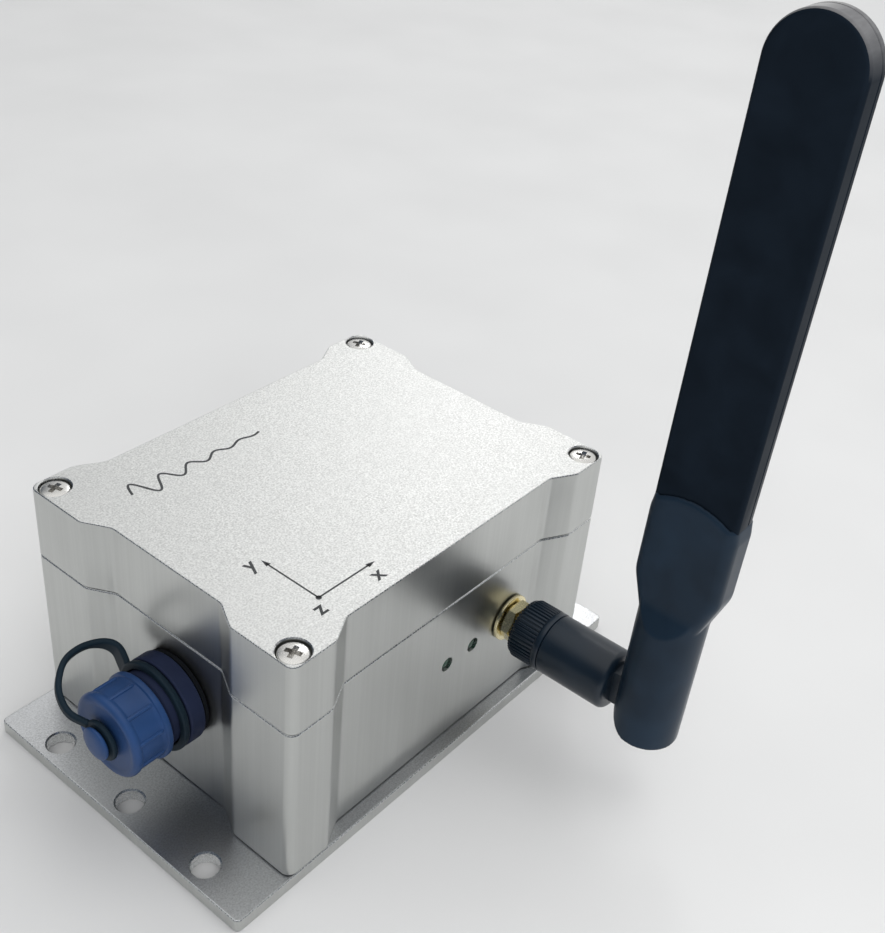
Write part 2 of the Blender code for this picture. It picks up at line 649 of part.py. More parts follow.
def make_battery(on_board):
    axis_height = on_board + HOLDER_FLOOR + SEAT + CELL_RADIUS
    length = CELL_LENGTH + 2 * (SEAT + HOLDER_WALL)
    block = prism(rounded_rectangle(length, HOLDER_WIDTH, HOLDER_WALL), on_board, on_board + HOLDER_HEIGHT)
    holder = add("battery_holder", block, PLASTIC, (CELL_CENTRE_X, CELL_CENTRE_Y, 0))
    bay = rod(CELL_RADIUS + SEAT, -CELL_LENGTH / 2 - SEAT, CELL_LENGTH / 2 + SEAT, 32)
    centre = Vector((CELL_CENTRE_X, CELL_CENTRE_Y, axis_height))
    cut(holder, add("cut_cell_bay", bay, GUIDE, centre, Vector((1, 0, 0))))
    half = CELL_LENGTH / 2
    nipple = CELL_RADIUS / 4
    edge = EDGE_BREAK * 2
    can = turned([
        (0, -half),
        (CELL_RADIUS - edge, -half),
        (CELL_RADIUS, -half + edge),
        (CELL_RADIUS, half - 2 * edge),
        (CELL_RADIUS - edge, half - edge),
        (nipple, half - edge),
        (nipple, half),
        (0, half),
    ], 28)
    add("battery_cell", can, CELL_WRAP, centre, Vector((1, 0, 0)))


def make_lamps():
    flange_face = SIDE_WALL + SEAT
    profile = [
        (0, LAMP_SUNK),
        (LAMP_RADIUS * 0.7, LAMP_SUNK + LAMP_RADIUS * 0.1),
        (LAMP_RADIUS, LAMP_SUNK + LAMP_RADIUS * 0.4),
        (LAMP_RADIUS, flange_face),
        (LAMP_FLANGE_RADIUS, flange_face),
        (LAMP_FLANGE_RADIUS, flange_face + LAMP_FLANGE),
        (0, flange_face + LAMP_FLANGE),
    ]
    for name, x in zip(numbered("lamp_lens", 2), LAMP_PLACES_X):
        add(name, turned(profile, 14), LAMP_GREEN, (x, FRONT_WALL, LAMP_HEIGHT), -OUT_FRONT)


def make_antenna_socket():
    """Bulkhead jack through the front wall, with its washer and nut outside."""
    inner_face = -SIDE_WALL - SEAT
    tail = inner_face - JACK_FLANGE - JACK_TAIL
    shell = turned([
        (JACK_BORE, tail),
        (JACK_RADIUS, tail),
        (JACK_RADIUS, inner_face - JACK_FLANGE),
        (JACK_FLANGE_RADIUS, inner_face - JACK_FLANGE),
        (JACK_FLANGE_RADIUS, inner_face),
        (JACK_RADIUS, inner_face),
        (JACK_RADIUS, JACK_REACH - EDGE_BREAK),
        (JACK_RADIUS - EDGE_BREAK, JACK_REACH),
        (JACK_BORE, JACK_REACH),
    ], 24)
    add("socket_shell", shell, GOLD, SOCKET_PLACE, OUT_FRONT)
    insulator_face = JACK_REACH - INSULATOR_SUNK
    sleeve = tube(CONTACT_RADIUS + FIT, INSULATOR_RADIUS, tail + SEAT, insulator_face, 16)
    add("socket_insulator", sleeve, PTFE, SOCKET_PLACE, OUT_FRONT)
    contact = turned([
        (0, tail - OVERRUN),
        (CONTACT_RADIUS, tail - OVERRUN),
        (CONTACT_RADIUS, insulator_face - SEAT),
        (CONTACT_BORE, insulator_face - SEAT),
        (CONTACT_BORE, 0),
        (0, 0),
    ], 12)
    add("socket_contact", contact, GOLD, SOCKET_PLACE, OUT_FRONT)
    washer = tube(JACK_RADIUS + FIT, WASHER_RADIUS, SEAT, SEAT + WASHER_THICKNESS, 24)
    add("socket_washer", washer, GOLD, SOCKET_PLACE, OUT_FRONT)
    nut_start = WASHER_THICKNESS + 2 * SEAT
    nut = add("socket_nut", prism(hexagon(NUT_FLATS), 0, NUT_THICKNESS), GOLD,
              SOCKET_PLACE + OUT_FRONT * nut_start, OUT_FRONT)
    bore = rod(JACK_RADIUS + FIT, nut_start - OVERRUN, nut_start + NUT_THICKNESS + OVERRUN)
    cut(nut, add("cut_nut_bore", bore, GUIDE, SOCKET_PLACE, OUT_FRONT))


def knurled_rings():
    """Rings of the collar: axial ribs that end short of a smooth band, with rounded ends."""
    count = COLLAR_RIBS * 2
    ribs_end = COLLAR_END - COLLAR_BAND
    stations = [
        (COLLAR_START, COLLAR_RADIUS - COLLAR_NOSE_DROP, RIB_DEPTH / 2),
        (COLLAR_START + COLLAR_NOSE_RUN, COLLAR_RADIUS, RIB_DEPTH),
        (ribs_end - COLLAR_EDGE, COLLAR_RADIUS, RIB_DEPTH),
        (ribs_end, COLLAR_RADIUS, 0.0),
        (COLLAR_END - COLLAR_EDGE, COLLAR_RADIUS, 0.0),
        (COLLAR_END, COLLAR_RADIUS - COLLAR_EDGE, 0.0),
    ]
    rings = []
    for height, radius, depth in stations:
        ring = []
        for number in range(count):
            angle = math.tau * number / count
            reach = radius - depth * (number % 2)
            ring.append((reach * math.cos(angle), reach * math.sin(angle), height))
        rings.append(ring)
    return rings


def make_antenna_plug():
    """Coupling nut in its knurled collar, round the plug that carries the elbow's barrel."""
    nut_start = COLLAR_START - SEAT
    nut_end = COLLAR_END
    flange_start = JACK_REACH + SEAT
    flange_end = flange_start + PLUG_FLANGE
    nut = add("coupling_nut", prism(hexagon(COUPLING_FLATS), nut_start, nut_end), GOLD, SOCKET_PLACE, OUT_FRONT)
    bore = turned([
        (0, nut_start - OVERRUN),
        (JACK_RADIUS + FIT, nut_start - OVERRUN),
        (JACK_RADIUS + FIT, flange_end + SEAT),
        (PLUG_STEM_RADIUS + FIT, flange_end + SEAT),
        (PLUG_STEM_RADIUS + FIT, nut_end + OVERRUN),
        (0, nut_end + OVERRUN),
    ], 24)
    cut(nut, add("cut_coupling_bore", bore, GUIDE, SOCKET_PLACE, OUT_FRONT))
    collar = add("knurled_collar", lofted(knurled_rings()), BLACK, SOCKET_PLACE, OUT_FRONT)
    around = prism(hexagon(COUPLING_FLATS + 2 * FIT), COLLAR_START - OVERRUN, COLLAR_END + OVERRUN)
    cut(collar, add("cut_collar_hexagon", around, GUIDE, SOCKET_PLACE, OUT_FRONT))
    sleeve_radius = JACK_BORE - FIT
    body = turned([
        (PLUG_BORE, JACK_REACH - INSULATOR_SUNK + SEAT),
        (sleeve_radius, JACK_REACH - INSULATOR_SUNK + SEAT),
        (sleeve_radius, flange_start),
        (JACK_RADIUS, flange_start),
        (JACK_RADIUS, flange_end),
        (PLUG_STEM_RADIUS, flange_end),
        (PLUG_STEM_RADIUS, flange_end + PLUG_STEM_LENGTH),
        (PLUG_BORE, flange_end + PLUG_STEM_LENGTH),
    ], 20)
    add("plug_body", body, GOLD, SOCKET_PLACE, OUT_FRONT)
    stem_end = flange_end + PLUG_STEM_LENGTH
    insulator = tube(PIN_RADIUS + FIT, PLUG_BORE - FIT, flange_start, stem_end - SEAT, 12)
    add("plug_insulator", insulator, PTFE, SOCKET_PLACE, OUT_FRONT)
    pin = rod(PIN_RADIUS, CONTACT_RADIUS, stem_end, 10)
    add("plug_pin", pin, GOLD, SOCKET_PLACE, OUT_FRONT)
    make_elbow_barrel(stem_end)


def make_elbow_barrel(stem_end):
    """Barrel with a flat tongue whose eye sits in the antenna's knuckle."""
    start = COLLAR_END + SEAT
    softened = BARREL_CHAMFER_START * BARREL_CHAMFER
    profile = [
        (0, start),
        (BARREL_RADIUS - BARREL_BACK_EDGE, start),
        (BARREL_RADIUS, start + BARREL_BACK_EDGE),
        (BARREL_RADIUS, BARREL_END - BARREL_CHAMFER),
        (BARREL_RADIUS - softened, BARREL_END - softened),
        (BARREL_RADIUS - BARREL_CHAMFER, BARREL_END),
        (0, BARREL_END),
    ]
    barrel = add("elbow_barrel", turned(profile, 32), BLACK, SOCKET_PLACE, OUT_FRONT)
    eye = [(TONGUE_EYE * math.cos(turn), TONGUE_EYE * math.sin(turn))
           for turn in [math.radians(125 + 11 * number) for number in range(11)]]
    root = HINGE_REACH - BARREL_END + OVERRUN
    tongue = prism(eye + [(root, -TONGUE_NECK), (root, TONGUE_NECK)], -TONGUE_THICKNESS / 2, TONGUE_THICKNESS / 2)
    join(barrel, add("join_tongue", upright(tongue), GUIDE, HINGE_PLACE))
    hole = rod(HINGE_PIN_RADIUS + FIT, -TONGUE_THICKNESS, TONGUE_THICKNESS, 16)
    cut(barrel, add("cut_tongue_eye", hole, GUIDE, HINGE_PLACE, Vector((1, 0, 0))))
    stem = rod(PLUG_STEM_RADIUS + FIT, start - OVERRUN, stem_end + SEAT)
    cut(barrel, add("cut_barrel_bore", stem, GUIDE, SOCKET_PLACE, OUT_FRONT))


def pad_outline():
    """Front view of the antenna socket's pad: narrow neck, straight cheeks, arched top."""
    side = [
        (PAD_ROOT_HALF_WIDTH, PAD_ROOT_HEIGHT, 0),
        (KNUCKLE_RADIUS, PAD_NECK_HEIGHT, PAD_FILLET),
        (PAD_HALF_WIDTH, PAD_SHOULDER_HEIGHT, PAD_FILLET),
        (PAD_HALF_WIDTH, PAD_CHEEK_HEIGHT, PAD_RIM_FILLET),
        (BLADE_HALF_WIDTH, PAD_RIM_HEIGHT, 0),
    ]
    rise = PAD_CROWN_HEIGHT - PAD_RIM_HEIGHT
    arch = []
    for number in range(1, 8):
        across = 1 - number / 4
        arch.append((BLADE_HALF_WIDTH * across, PAD_RIM_HEIGHT + rise * (1 - across * across), 0))
    far_side = [(-y, z, radius) for y, z, radius in reversed(side)]
    return rounded_polygon(side + arch + far_side)


def make_antenna_knuckle(hinge):
    """Round knuckle below, slotted for the tongue, that opens into a flat pad for the blade."""
    foot = KNUCKLE_RADIUS
    profile = [(0, -foot), (foot, -foot), (foot, KNUCKLE_TOP), (0, KNUCKLE_TOP)]
    knuckle = add("antenna_knuckle", turned(profile, 32), BLACK, parent=hinge)
    curve = foot + SEAT / 6
    quarter = [(curve * math.cos(turn), curve * math.sin(turn))
               for turn in [math.radians(-90 + 15 * number) for number in range(7)]]
    beyond = foot + OVERRUN
    corner = [(beyond, 0), (beyond, -beyond), (0, -beyond)]
    round_off = prism(quarter + corner, -beyond, beyond)
    cut(knuckle, add("cut_knuckle_corner", upright(round_off), GUIDE, parent=hinge))
    half = PAD_THICKNESS / 2
    for side, name in ((1, "cut_ledge_back"), (-1, "cut_ledge_front")):
        ledge = [
            (side * (half - LEDGE_IN_PAD), KNUCKLE_TOP + OVERRUN),
            (side * (half - LEDGE_IN_PAD), KNUCKLE_TOP - LEDGE_TOP_DROP),
            (side * (foot + SEAT), KNUCKLE_TOP - LEDGE_DROP),
            (side * beyond, KNUCKLE_TOP - LEDGE_DROP),
            (side * beyond, KNUCKLE_TOP + OVERRUN),
        ]
        block = prism(ledge, -beyond, beyond)
        across = Matrix(((1, 0, 0, 0), (0, 0, -1, 0), (0, 1, 0, 0), (0, 0, 0, 1)))
        bmesh.ops.transform(block, matrix=across, verts=block.verts)
        cut(knuckle, add(name, block, GUIDE, parent=hinge))
    pad = upright(prism(pad_outline(), -half, half))
    bevel_edges(pad, PAD_EDGE, 3, face_edges(-half))
    bevel_edges(pad, PAD_EDGE, 3, face_edges(half))
    join(knuckle, add("join_pad", pad, GUIDE, parent=hinge))
    pocket_half = BLADE_THICKNESS / 2 + FIT
    wide = TANG_HALF_WIDTH + FIT
    low = TANG_FOOT_HEIGHT - SEAT
    high = PAD_CROWN_HEIGHT + OVERRUN
    pocket = upright(prism([(-wide, low), (wide, low), (wide, high), (-wide, high)], -pocket_half, pocket_half))
    cut(knuckle, add("cut_blade_pocket", pocket, GUIDE, parent=hinge))
    slot_half = TONGUE_THICKNESS / 2 + FIT
    reach = TONGUE_EYE + KNUCKLE_SLOT_GAP
    neck = TONGUE_NECK + FIT
    arc = [(reach * math.cos(turn), reach * math.sin(turn))
           for turn in [math.radians(60 + 15 * number) for number in range(11)]]
    slot = arc + [(-neck, -beyond), (beyond, -beyond), (beyond, neck)]
    cut(knuckle, add("cut_tongue_slot", upright(prism(slot, -slot_half, slot_half)), GUIDE, parent=hinge))
    pin_end = KNUCKLE_RADIUS - PIN_END_WALL
    hole = rod(HINGE_PIN_RADIUS + FIT, -pin_end, beyond, 16)
    cut(knuckle, add("cut_hinge_pin_hole", hole, GUIDE, towards=Vector((1, 0, 0)), parent=hinge))
    pin = rod(HINGE_PIN_RADIUS, SEAT - pin_end, KNUCKLE_RADIUS - PIN_SUNK, 16)
    add("hinge_pin", pin, DARK_STEEL, towards=Vector((1, 0, 0)), parent=hinge)


def blade_outline(inset):
    """Front view of the blade: a tang, a straight-sided paddle and a full round tip."""
    half = BLADE_HALF_WIDTH - inset
    tang = TANG_HALF_WIDTH - inset
    foot = TANG_FOOT_HEIGHT + inset
    shoulder = PAD_RIM_HEIGHT + SEAT + inset
    tip_centre = BLADE_TIP_HEIGHT - BLADE_HALF_WIDTH
    tip = [(half * math.cos(turn), tip_centre + half * math.sin(turn))
           for turn in [math.pi * number / 18 for number in range(19)]]
    return [(tang, foot), (tang, shoulder), (half, shoulder)] + tip + \
        [(-half, shoulder), (-tang, shoulder), (-tang, foot)]


def make_antenna_blade(hinge):
    """Two shells that meet at a parting line, round the radiator board."""
    half = BLADE_THICKNESS / 2
    inner = half - BLADE_WALL
    shells = (
        ("blade_front_shell", -half, BLADE_PARTING - SEAT / 2, -inner, half, -half),
        ("blade_back_shell", BLADE_PARTING + SEAT / 2, half, -half, inner, half),
    )
    for name, low, high, hollow_low, hollow_high, outer_face in shells:
        body = upright(prism(blade_outline(0), low, high))
        bevel_edges(body, BLADE_EDGE, 2, face_edges(outer_face))
        shell = add(name, body, BLACK, parent=hinge)
        hollow = upright(prism(blade_outline(BLADE_WALL), hollow_low, hollow_high))
        cut(shell, add("cut_" + name, hollow, GUIDE, parent=hinge))
    width = TANG_HALF_WIDTH - BLADE_WALL - FIT
    low = TANG_FOOT_HEIGHT + BLADE_WALL + SEAT
    high = BLADE_TIP_HEIGHT - BLADE_HALF_WIDTH - RADIATOR_END_GAP
    outline = [(-width, low), (width, low), (width, high), (-width, high)]
    board = upright(prism(outline, -inner + SEAT, -inner + SEAT + RADIATOR_THICKNESS))
    add("radiator_board", board, BOARD_GREEN, parent=hinge)


def cap_rings():
    """Rings of the cap: a rim, then grips that are shallow panels between axial ridges."""
    ridge_share = (0.0, 0.11, 0.16, 0.555, 0.95)
    in_panel = (0, 0, 1, 1, 1)
    points = len(ridge_share)
    count = CAP_GRIPS * points
    rim_end = CAP_SKIRT + CAP_RIM
    panel_start = rim_end + CAP_GRIP_TO_RIM
    panel_end = CAP_FACE - CAP_EDGE - CAP_GRIP_TO_EDGE
    softened = CAP_EDGE_START * CAP_EDGE
    stations = [
        (CAP_SKIRT, CAP_RIM_RADIUS, 0.0),
        (rim_end, CAP_RIM_RADIUS, 0.0),
        (rim_end + CAP_RIM_STEP, CAP_RADIUS, 0.0),
        (panel_start, CAP_RADIUS, 0.0),
        (panel_start + CAP_GRIP_RAMP, CAP_RADIUS, CAP_GRIP_DEPTH),
        (panel_end - CAP_GRIP_RAMP, CAP_RADIUS, CAP_GRIP_DEPTH),
        (panel_end, CAP_RADIUS, 0.0),
        (CAP_FACE - softened, CAP_RADIUS - softened, 0.0),
        (CAP_FACE, CAP_RADIUS - CAP_EDGE, 0.0),
    ]
    rings = []
    for height, radius, depth in stations:
        ring = []
        for number in range(count):
            grip, part = divmod(number, points)
            angle = math.tau * (grip + ridge_share[part]) / CAP_GRIPS
            reach = radius - depth * in_panel[part]
            ring.append((reach * math.cos(angle), reach * math.sin(angle), height))
        rings.append(ring)
    return rings


def make_port():
    """Round connector: seal and body outside the wall, nut inside, insert and pins within."""
    seal = tube(PORT_REAR_RADIUS + FIT, PORT_FLANGE_RADIUS - EDGE_BREAK, SEAT, SEAT + PORT_SEAL)
    add("port_seal", seal, RUBBER, PORT_PLACE, OUT_SIDE)
    flange_start = PORT_SEAL + 2 * SEAT
    rear = -SIDE_WALL - PORT_REAR_REACH
    body = turned([
        (PORT_BORE, rear),
        (PORT_REAR_RADIUS, rear),
        (PORT_REAR_RADIUS, flange_start),
        (PORT_FLANGE_RADIUS, flange_start),
        (PORT_FLANGE_RADIUS, PORT_FLANGE_END - EDGE_BREAK),
        (PORT_FLANGE_RADIUS - EDGE_BREAK, PORT_FLANGE_END),
        (PORT_NECK_RADIUS, PORT_FLANGE_END),
        (PORT_NECK_RADIUS, PORT_REACH - EDGE_BREAK),
        (PORT_NECK_RADIUS - EDGE_BREAK, PORT_REACH),
        (PORT_BORE, PORT_REACH),
    ], 32)
    add("port_body", body, PORT_BLACK, PORT_PLACE, OUT_SIDE)
    nut_face = -SIDE_WALL - SEAT
    nut = add("port_nut", prism(hexagon(PORT_NUT_FLATS), nut_face - PORT_NUT_THICKNESS, nut_face), PORT_BLACK,
              PORT_PLACE, OUT_SIDE)
    bore = rod(PORT_REAR_RADIUS + FIT, nut_face - PORT_NUT_THICKNESS - OVERRUN, nut_face + OVERRUN, 32)
    cut(nut, add("cut_port_nut_bore", bore, GUIDE, PORT_PLACE, OUT_SIDE))
    insert = add("port_insert", rod(PORT_BORE - FIT, rear + OVERRUN, INSERT_FACE), PORT_BLACK,
                 PORT_PLACE, OUT_SIDE)
    centres = [Vector((y, z, 0)) for y, z in regular_polygon(CONTACT_PIN_CIRCLE, CONTACT_PINS, math.radians(45))]
    hole = rod(CONTACT_PIN_RADIUS + FIT, rear, INSERT_FACE + OVERRUN, 10)
    cut(insert, add("cut_insert_holes", at_places(hole, centres), GUIDE, PORT_PLACE, OUT_SIDE))
    tip = CONTACT_PIN_RADIUS * 0.6
    profile = [
        (0, rear - OVERRUN),
        (CONTACT_PIN_RADIUS, rear - OVERRUN),
        (CONTACT_PIN_RADIUS, CONTACT_PIN_REACH - tip),
        (CONTACT_PIN_RADIUS - tip, CONTACT_PIN_REACH),
        (0, CONTACT_PIN_REACH),
    ]
    turn = UP.rotation_difference(OUT_SIDE)
    for name, centre in zip(numbered("contact_pin", CONTACT_PINS), centres):
        add(name, turned(profile, 10), GOLD, PORT_PLACE + turn @ centre, OUT_SIDE)


def make_port_cap():
    """Screw cap with a moulded knob that holds the tether's eyelet."""
    cap = add("port_cap", lofted(cap_rings()), CAP_BLUE, PORT_PLACE, OUT_SIDE)
    neck_end = CAP_FACE + EYELET_THICKNESS + 2 * SEAT
    knob = turned([
        (0, CAP_FACE - CAP_WALL / 2),
        (CAP_KNOB_RADIUS, CAP_FACE - CAP_WALL / 2),
        (CAP_KNOB_RADIUS, neck_end),
        (CAP_KNOB_HEAD_RADIUS, neck_end),
        (CAP_KNOB_HEAD_RADIUS, neck_end + CAP_KNOB_HEAD * 0.5),
        (CAP_KNOB_HEAD_RADIUS * 0.8, neck_end + CAP_KNOB_HEAD * 0.9),
        (CAP_KNOB_HEAD_RADIUS * 0.45, neck_end + CAP_KNOB_HEAD),
        (0, neck_end + CAP_KNOB_HEAD),
    ], 20)
    join(cap, add("join_cap_knob", knob, GUIDE, PORT_PLACE, OUT_SIDE))
    bore = rod(PORT_NECK_RADIUS + FIT, CAP_SKIRT - OVERRUN, CAP_FACE - CAP_WALL, 32)
    cut(cap, add("cut_cap_bore", bore, GUIDE, PORT_PLACE, OUT_SIDE))
    seal_end = CAP_FACE - CAP_WALL - SEAT
    seal = tube(PORT_BORE, PORT_NECK_RADIUS, seal_end - CAP_SEAL, seal_end, 28)
    add("cap_seal", seal, RUBBER, PORT_PLACE, OUT_SIDE)


def tether_path():
    """Centre line of the tether's loop as (distance from the connector's axis, distance from the wall)."""
    ring_level = PORT_FLANGE_END + SEAT + TETHER_RING_WIDTH / 2
    eyelet_level = CAP_FACE + SEAT + EYELET_THICKNESS / 2
    between = eyelet_level - ring_level
    knots = [Vector((TETHER_RING_RADIUS - TETHER_OVERLAP, ring_level))]
    for reach_share, level_share in TETHER_LOOP:
        knots.append(Vector((TETHER_REACH * reach_share, ring_level + between * level_share)))
    knots.append(Vector((EYELET_RADIUS - TETHER_OVERLAP, eyelet_level)))
    ends = [2 * knots[0] - knots[1], 2 * knots[-1] - knots[-2]]
    padded = [ends[0]] + knots + [ends[1]]
    path = []
    for index in range(1, len(padded) - 2):
        a, b, c, d = padded[index - 1:index + 3]
        for number in range(2):
            t = number / 2
            point = 2 * b + (c - a) * t + (2 * a - 5 * b + 4 * c - d) * t ** 2 + (3 * b - a - 3 * c + d) * t ** 3
            path.append(point / 2)
    path.append(knots[-1])
    return path


def make_tether():
    """Ring round the connector's neck, a flat strap in a loop, and an eyelet on the cap's knob."""
    ring_start = PORT_FLANGE_END + SEAT
    ring = tube(PORT_NECK_RADIUS + FIT, TETHER_RING_RADIUS, ring_start, ring_start + TETHER_RING_WIDTH, 28)
    tether = add("cap_tether", ring, TETHER_BLACK, PORT_PLACE, OUT_SIDE)
    eyelet_start = CAP_FACE + SEAT
    eyelet = tube(CAP_KNOB_RADIUS + FIT, EYELET_RADIUS, eyelet_start, eyelet_start + EYELET_THICKNESS, 20)
    join(tether, add("join_tether_eyelet", eyelet, GUIDE, PORT_PLACE, OUT_SIDE))
    outward = Vector((0, math.cos(TETHER_CLOCK), math.sin(TETHER_CLOCK)))
    across = OUT_SIDE.cross(outward)
    path = tether_path()
    sections = []
    for index, point in enumerate(path):
        before = path[max(index - 1, 0)]
        after = path[min(index + 1, len(path) - 1)]
        along = (after - before).normalized()
        normal = Vector((-along.y, along.x))
        section = []
        for wide, thick in ((-0.5, -0.3), (-0.35, -0.5), (0.35, -0.5), (0.5, -0.3),
                            (0.5, 0.3), (0.35, 0.5), (-0.35, 0.5), (-0.5, 0.3)):
            flat = point + normal * thick * TETHER_THICKNESS
            place = PORT_PLACE + outward * flat.x + OUT_SIDE * flat.y + across * wide * TETHER_WIDTH
            section.append(place)
        sections.append(section)
    join(tether, add("join_tether_strap", lofted(sections), GUIDE))


clear_scene()

GUIDE = finish("guide", (0.8, 0.2, 0.2), 0.8)
BLASTED = finish("blasted_aluminium", (0.78, 0.79, 0.79), 0.55, 1.0)
SATIN = finish("satin_aluminium", (0.55, 0.56, 0.57), 0.4, 1.0)
STEEL = finish("nickel_plated_steel", (0.72, 0.71, 0.69), 0.25, 1.0)
DARK_STEEL = finish("blackened_steel", (0.05, 0.05, 0.055), 0.4, 1.0)
BRASS = finish("brass", (0.72, 0.55, 0.25), 0.3, 1.0)
GOLD = finish("gold_plate", (0.83, 0.66, 0.3), 0.22, 1.0)
RUBBER = finish("seal_rubber", (0.03, 0.03, 0.035), 0.8)
PLASTIC = finish("moulded_plastic", (0.04, 0.04, 0.045), 0.5)
PTFE = finish("white_insulator", (0.85, 0.85, 0.82), 0.5)
BLACK = finish("antenna_black", (0.016, 0.022, 0.03), 0.45)
PORT_BLACK = finish("connector_black", (0.02, 0.022, 0.035), 0.45)
CAP_BLUE = finish("cap_blue", (0.02, 0.06, 0.25), 0.4)
TETHER_BLACK = finish("tether_rubber", (0.015, 0.025, 0.03), 0.6)
BOARD_GREEN = finish("circuit_board", (0.02, 0.16, 0.07), 0.5)
CELL_WRAP = finish("cell_wrap", (0.1, 0.22, 0.1), 0.4)
LAMP_GREEN = finish("lamp_lens", (0.05, 0.28, 0.1), 0.25)

make_mounting_plate()
make_base_housing()
make_lid()
make_electronics()
make_lamps()
make_antenna_socket()
make_antenna_plug()
hinge_empty = bpy.data.objects.new("antenna_hinge", None)
bpy.context.collection.objects.link(hinge_empty)
hinge_empty.location = HINGE_PLACE
hinge_empty.rotation_euler = (TILT_AT_REST, 0, 0)
make_antenna_knuckle(hinge_empty)
make_antenna_blade(hinge_empty)
make_port()
make_port_cap()
make_tether()
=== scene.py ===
# %% [markdown]
# # A wireless vibration sensor
#
# The real object is a small aluminium box on a flanged plate. A round connector with a blue
# screw cap sits on its left side, and a paddle antenna stands on an elbow in front of it.
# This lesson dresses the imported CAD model: the CAD nodes give sizes and places, and each
# cell below makes one visible piece or one finish.

# %% Load the frame
import math

import bmesh
import bpy
from mathutils import Matrix, Vector


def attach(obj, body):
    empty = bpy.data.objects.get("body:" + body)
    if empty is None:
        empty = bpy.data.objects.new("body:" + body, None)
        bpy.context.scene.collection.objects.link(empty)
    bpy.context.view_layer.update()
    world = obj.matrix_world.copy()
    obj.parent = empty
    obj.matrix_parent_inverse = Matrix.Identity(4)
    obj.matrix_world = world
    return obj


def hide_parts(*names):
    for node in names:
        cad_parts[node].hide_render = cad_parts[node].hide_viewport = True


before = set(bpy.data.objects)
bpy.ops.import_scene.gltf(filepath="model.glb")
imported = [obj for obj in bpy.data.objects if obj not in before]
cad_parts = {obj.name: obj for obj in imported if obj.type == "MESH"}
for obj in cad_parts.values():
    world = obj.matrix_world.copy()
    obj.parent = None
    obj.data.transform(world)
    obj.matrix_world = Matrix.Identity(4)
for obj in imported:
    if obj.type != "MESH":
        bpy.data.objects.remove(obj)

MM = 0.001
UP = Vector((0, 0, 1))
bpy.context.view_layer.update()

# %% [markdown]
# ## Camera
#
# The camera stands in front and to the left of the box and looks down on it. Its three axes were
# solved once by matching corners of the CAD model, so they are written as plain numbers.
# A small shift puts the object where it stands in the frame.

# %% Camera
CAMERA_PLACE = Vector((-0.150211659, -0.139293826, 0.196950336))
CAMERA_RIGHT = Vector((0.634703484, -0.767996839, 0.085629098))
CAMERA_DOWN = Vector((-0.385596929, -0.410788751, -0.826176501))
CAMERA_AHEAD = Vector((0.669676412, 0.491358786, -0.556866274))


def add_object(name, data):
    made = bpy.data.objects.new(name, data)
    bpy.context.collection.objects.link(made)
    return made


camera_data = bpy.data.cameras.new("camera")
camera_data.sensor_fit = "VERTICAL"
camera_data.sensor_width = 36
camera_data.sensor_height = 36
camera_data.lens = 48.67
camera_data.shift_x = -0.0114
camera_data.shift_y = -0.0083
camera_data.clip_start = 0.01
camera = add_object("camera", camera_data)
turn = Matrix((CAMERA_RIGHT, -CAMERA_DOWN, -CAMERA_AHEAD)).transposed()
camera.matrix_world = Matrix.Translation(CAMERA_PLACE) @ turn.to_4x4()
bpy.context.scene.camera = camera

# %% [markdown]
# ## Building blocks for node trees
#
# Materials, the sky and the trees that repeat shapes are all made of nodes. These helpers add a
# node and fill its inputs, each with a plain value or with the output that feeds it.

# %% Node helpers
def set_inputs(node, inputs):
    """Fill a node's inputs, given by number or by name. Underscores in a name stand for spaces."""
    for name, value in inputs.items():
        socket = node.inputs[name.replace("_", " ") if isinstance(name, str) else name]
        if isinstance(value, bpy.types.NodeSocket):
            node.id_data.links.new(value, socket)
        else:
            socket.default_value = value
    return node


def add_node(tree, kind, **inputs):
    return set_inputs(tree.nodes.new(kind), inputs)


def maths(tree, operation, first, second):
    node = tree.nodes.new("ShaderNodeMath")
    node.operation = operation
    return set_inputs(node, {0: first, 1: second}).outputs[0]


def mixed(tree, share, first, second):
    """A colour between two, each given as three numbers or as a socket."""
    node = tree.nodes.new("ShaderNodeMix")
    node.data_type = "RGBA"
    first, second = [(*colour, 1) if isinstance(colour, tuple) else colour for colour in (first, second)]
    return set_inputs(node, {"Factor": share, 6: first, 7: second}).outputs[2]

# %% [markdown]
# ## Building blocks for materials
#
# Every finish here starts from the Principled shader. Detail comes from noise that reads Object
# coordinates, so a pattern keeps its real size in metres and needs no unwrapping. The calls of
# this class add one node each, and the finishes put them together.

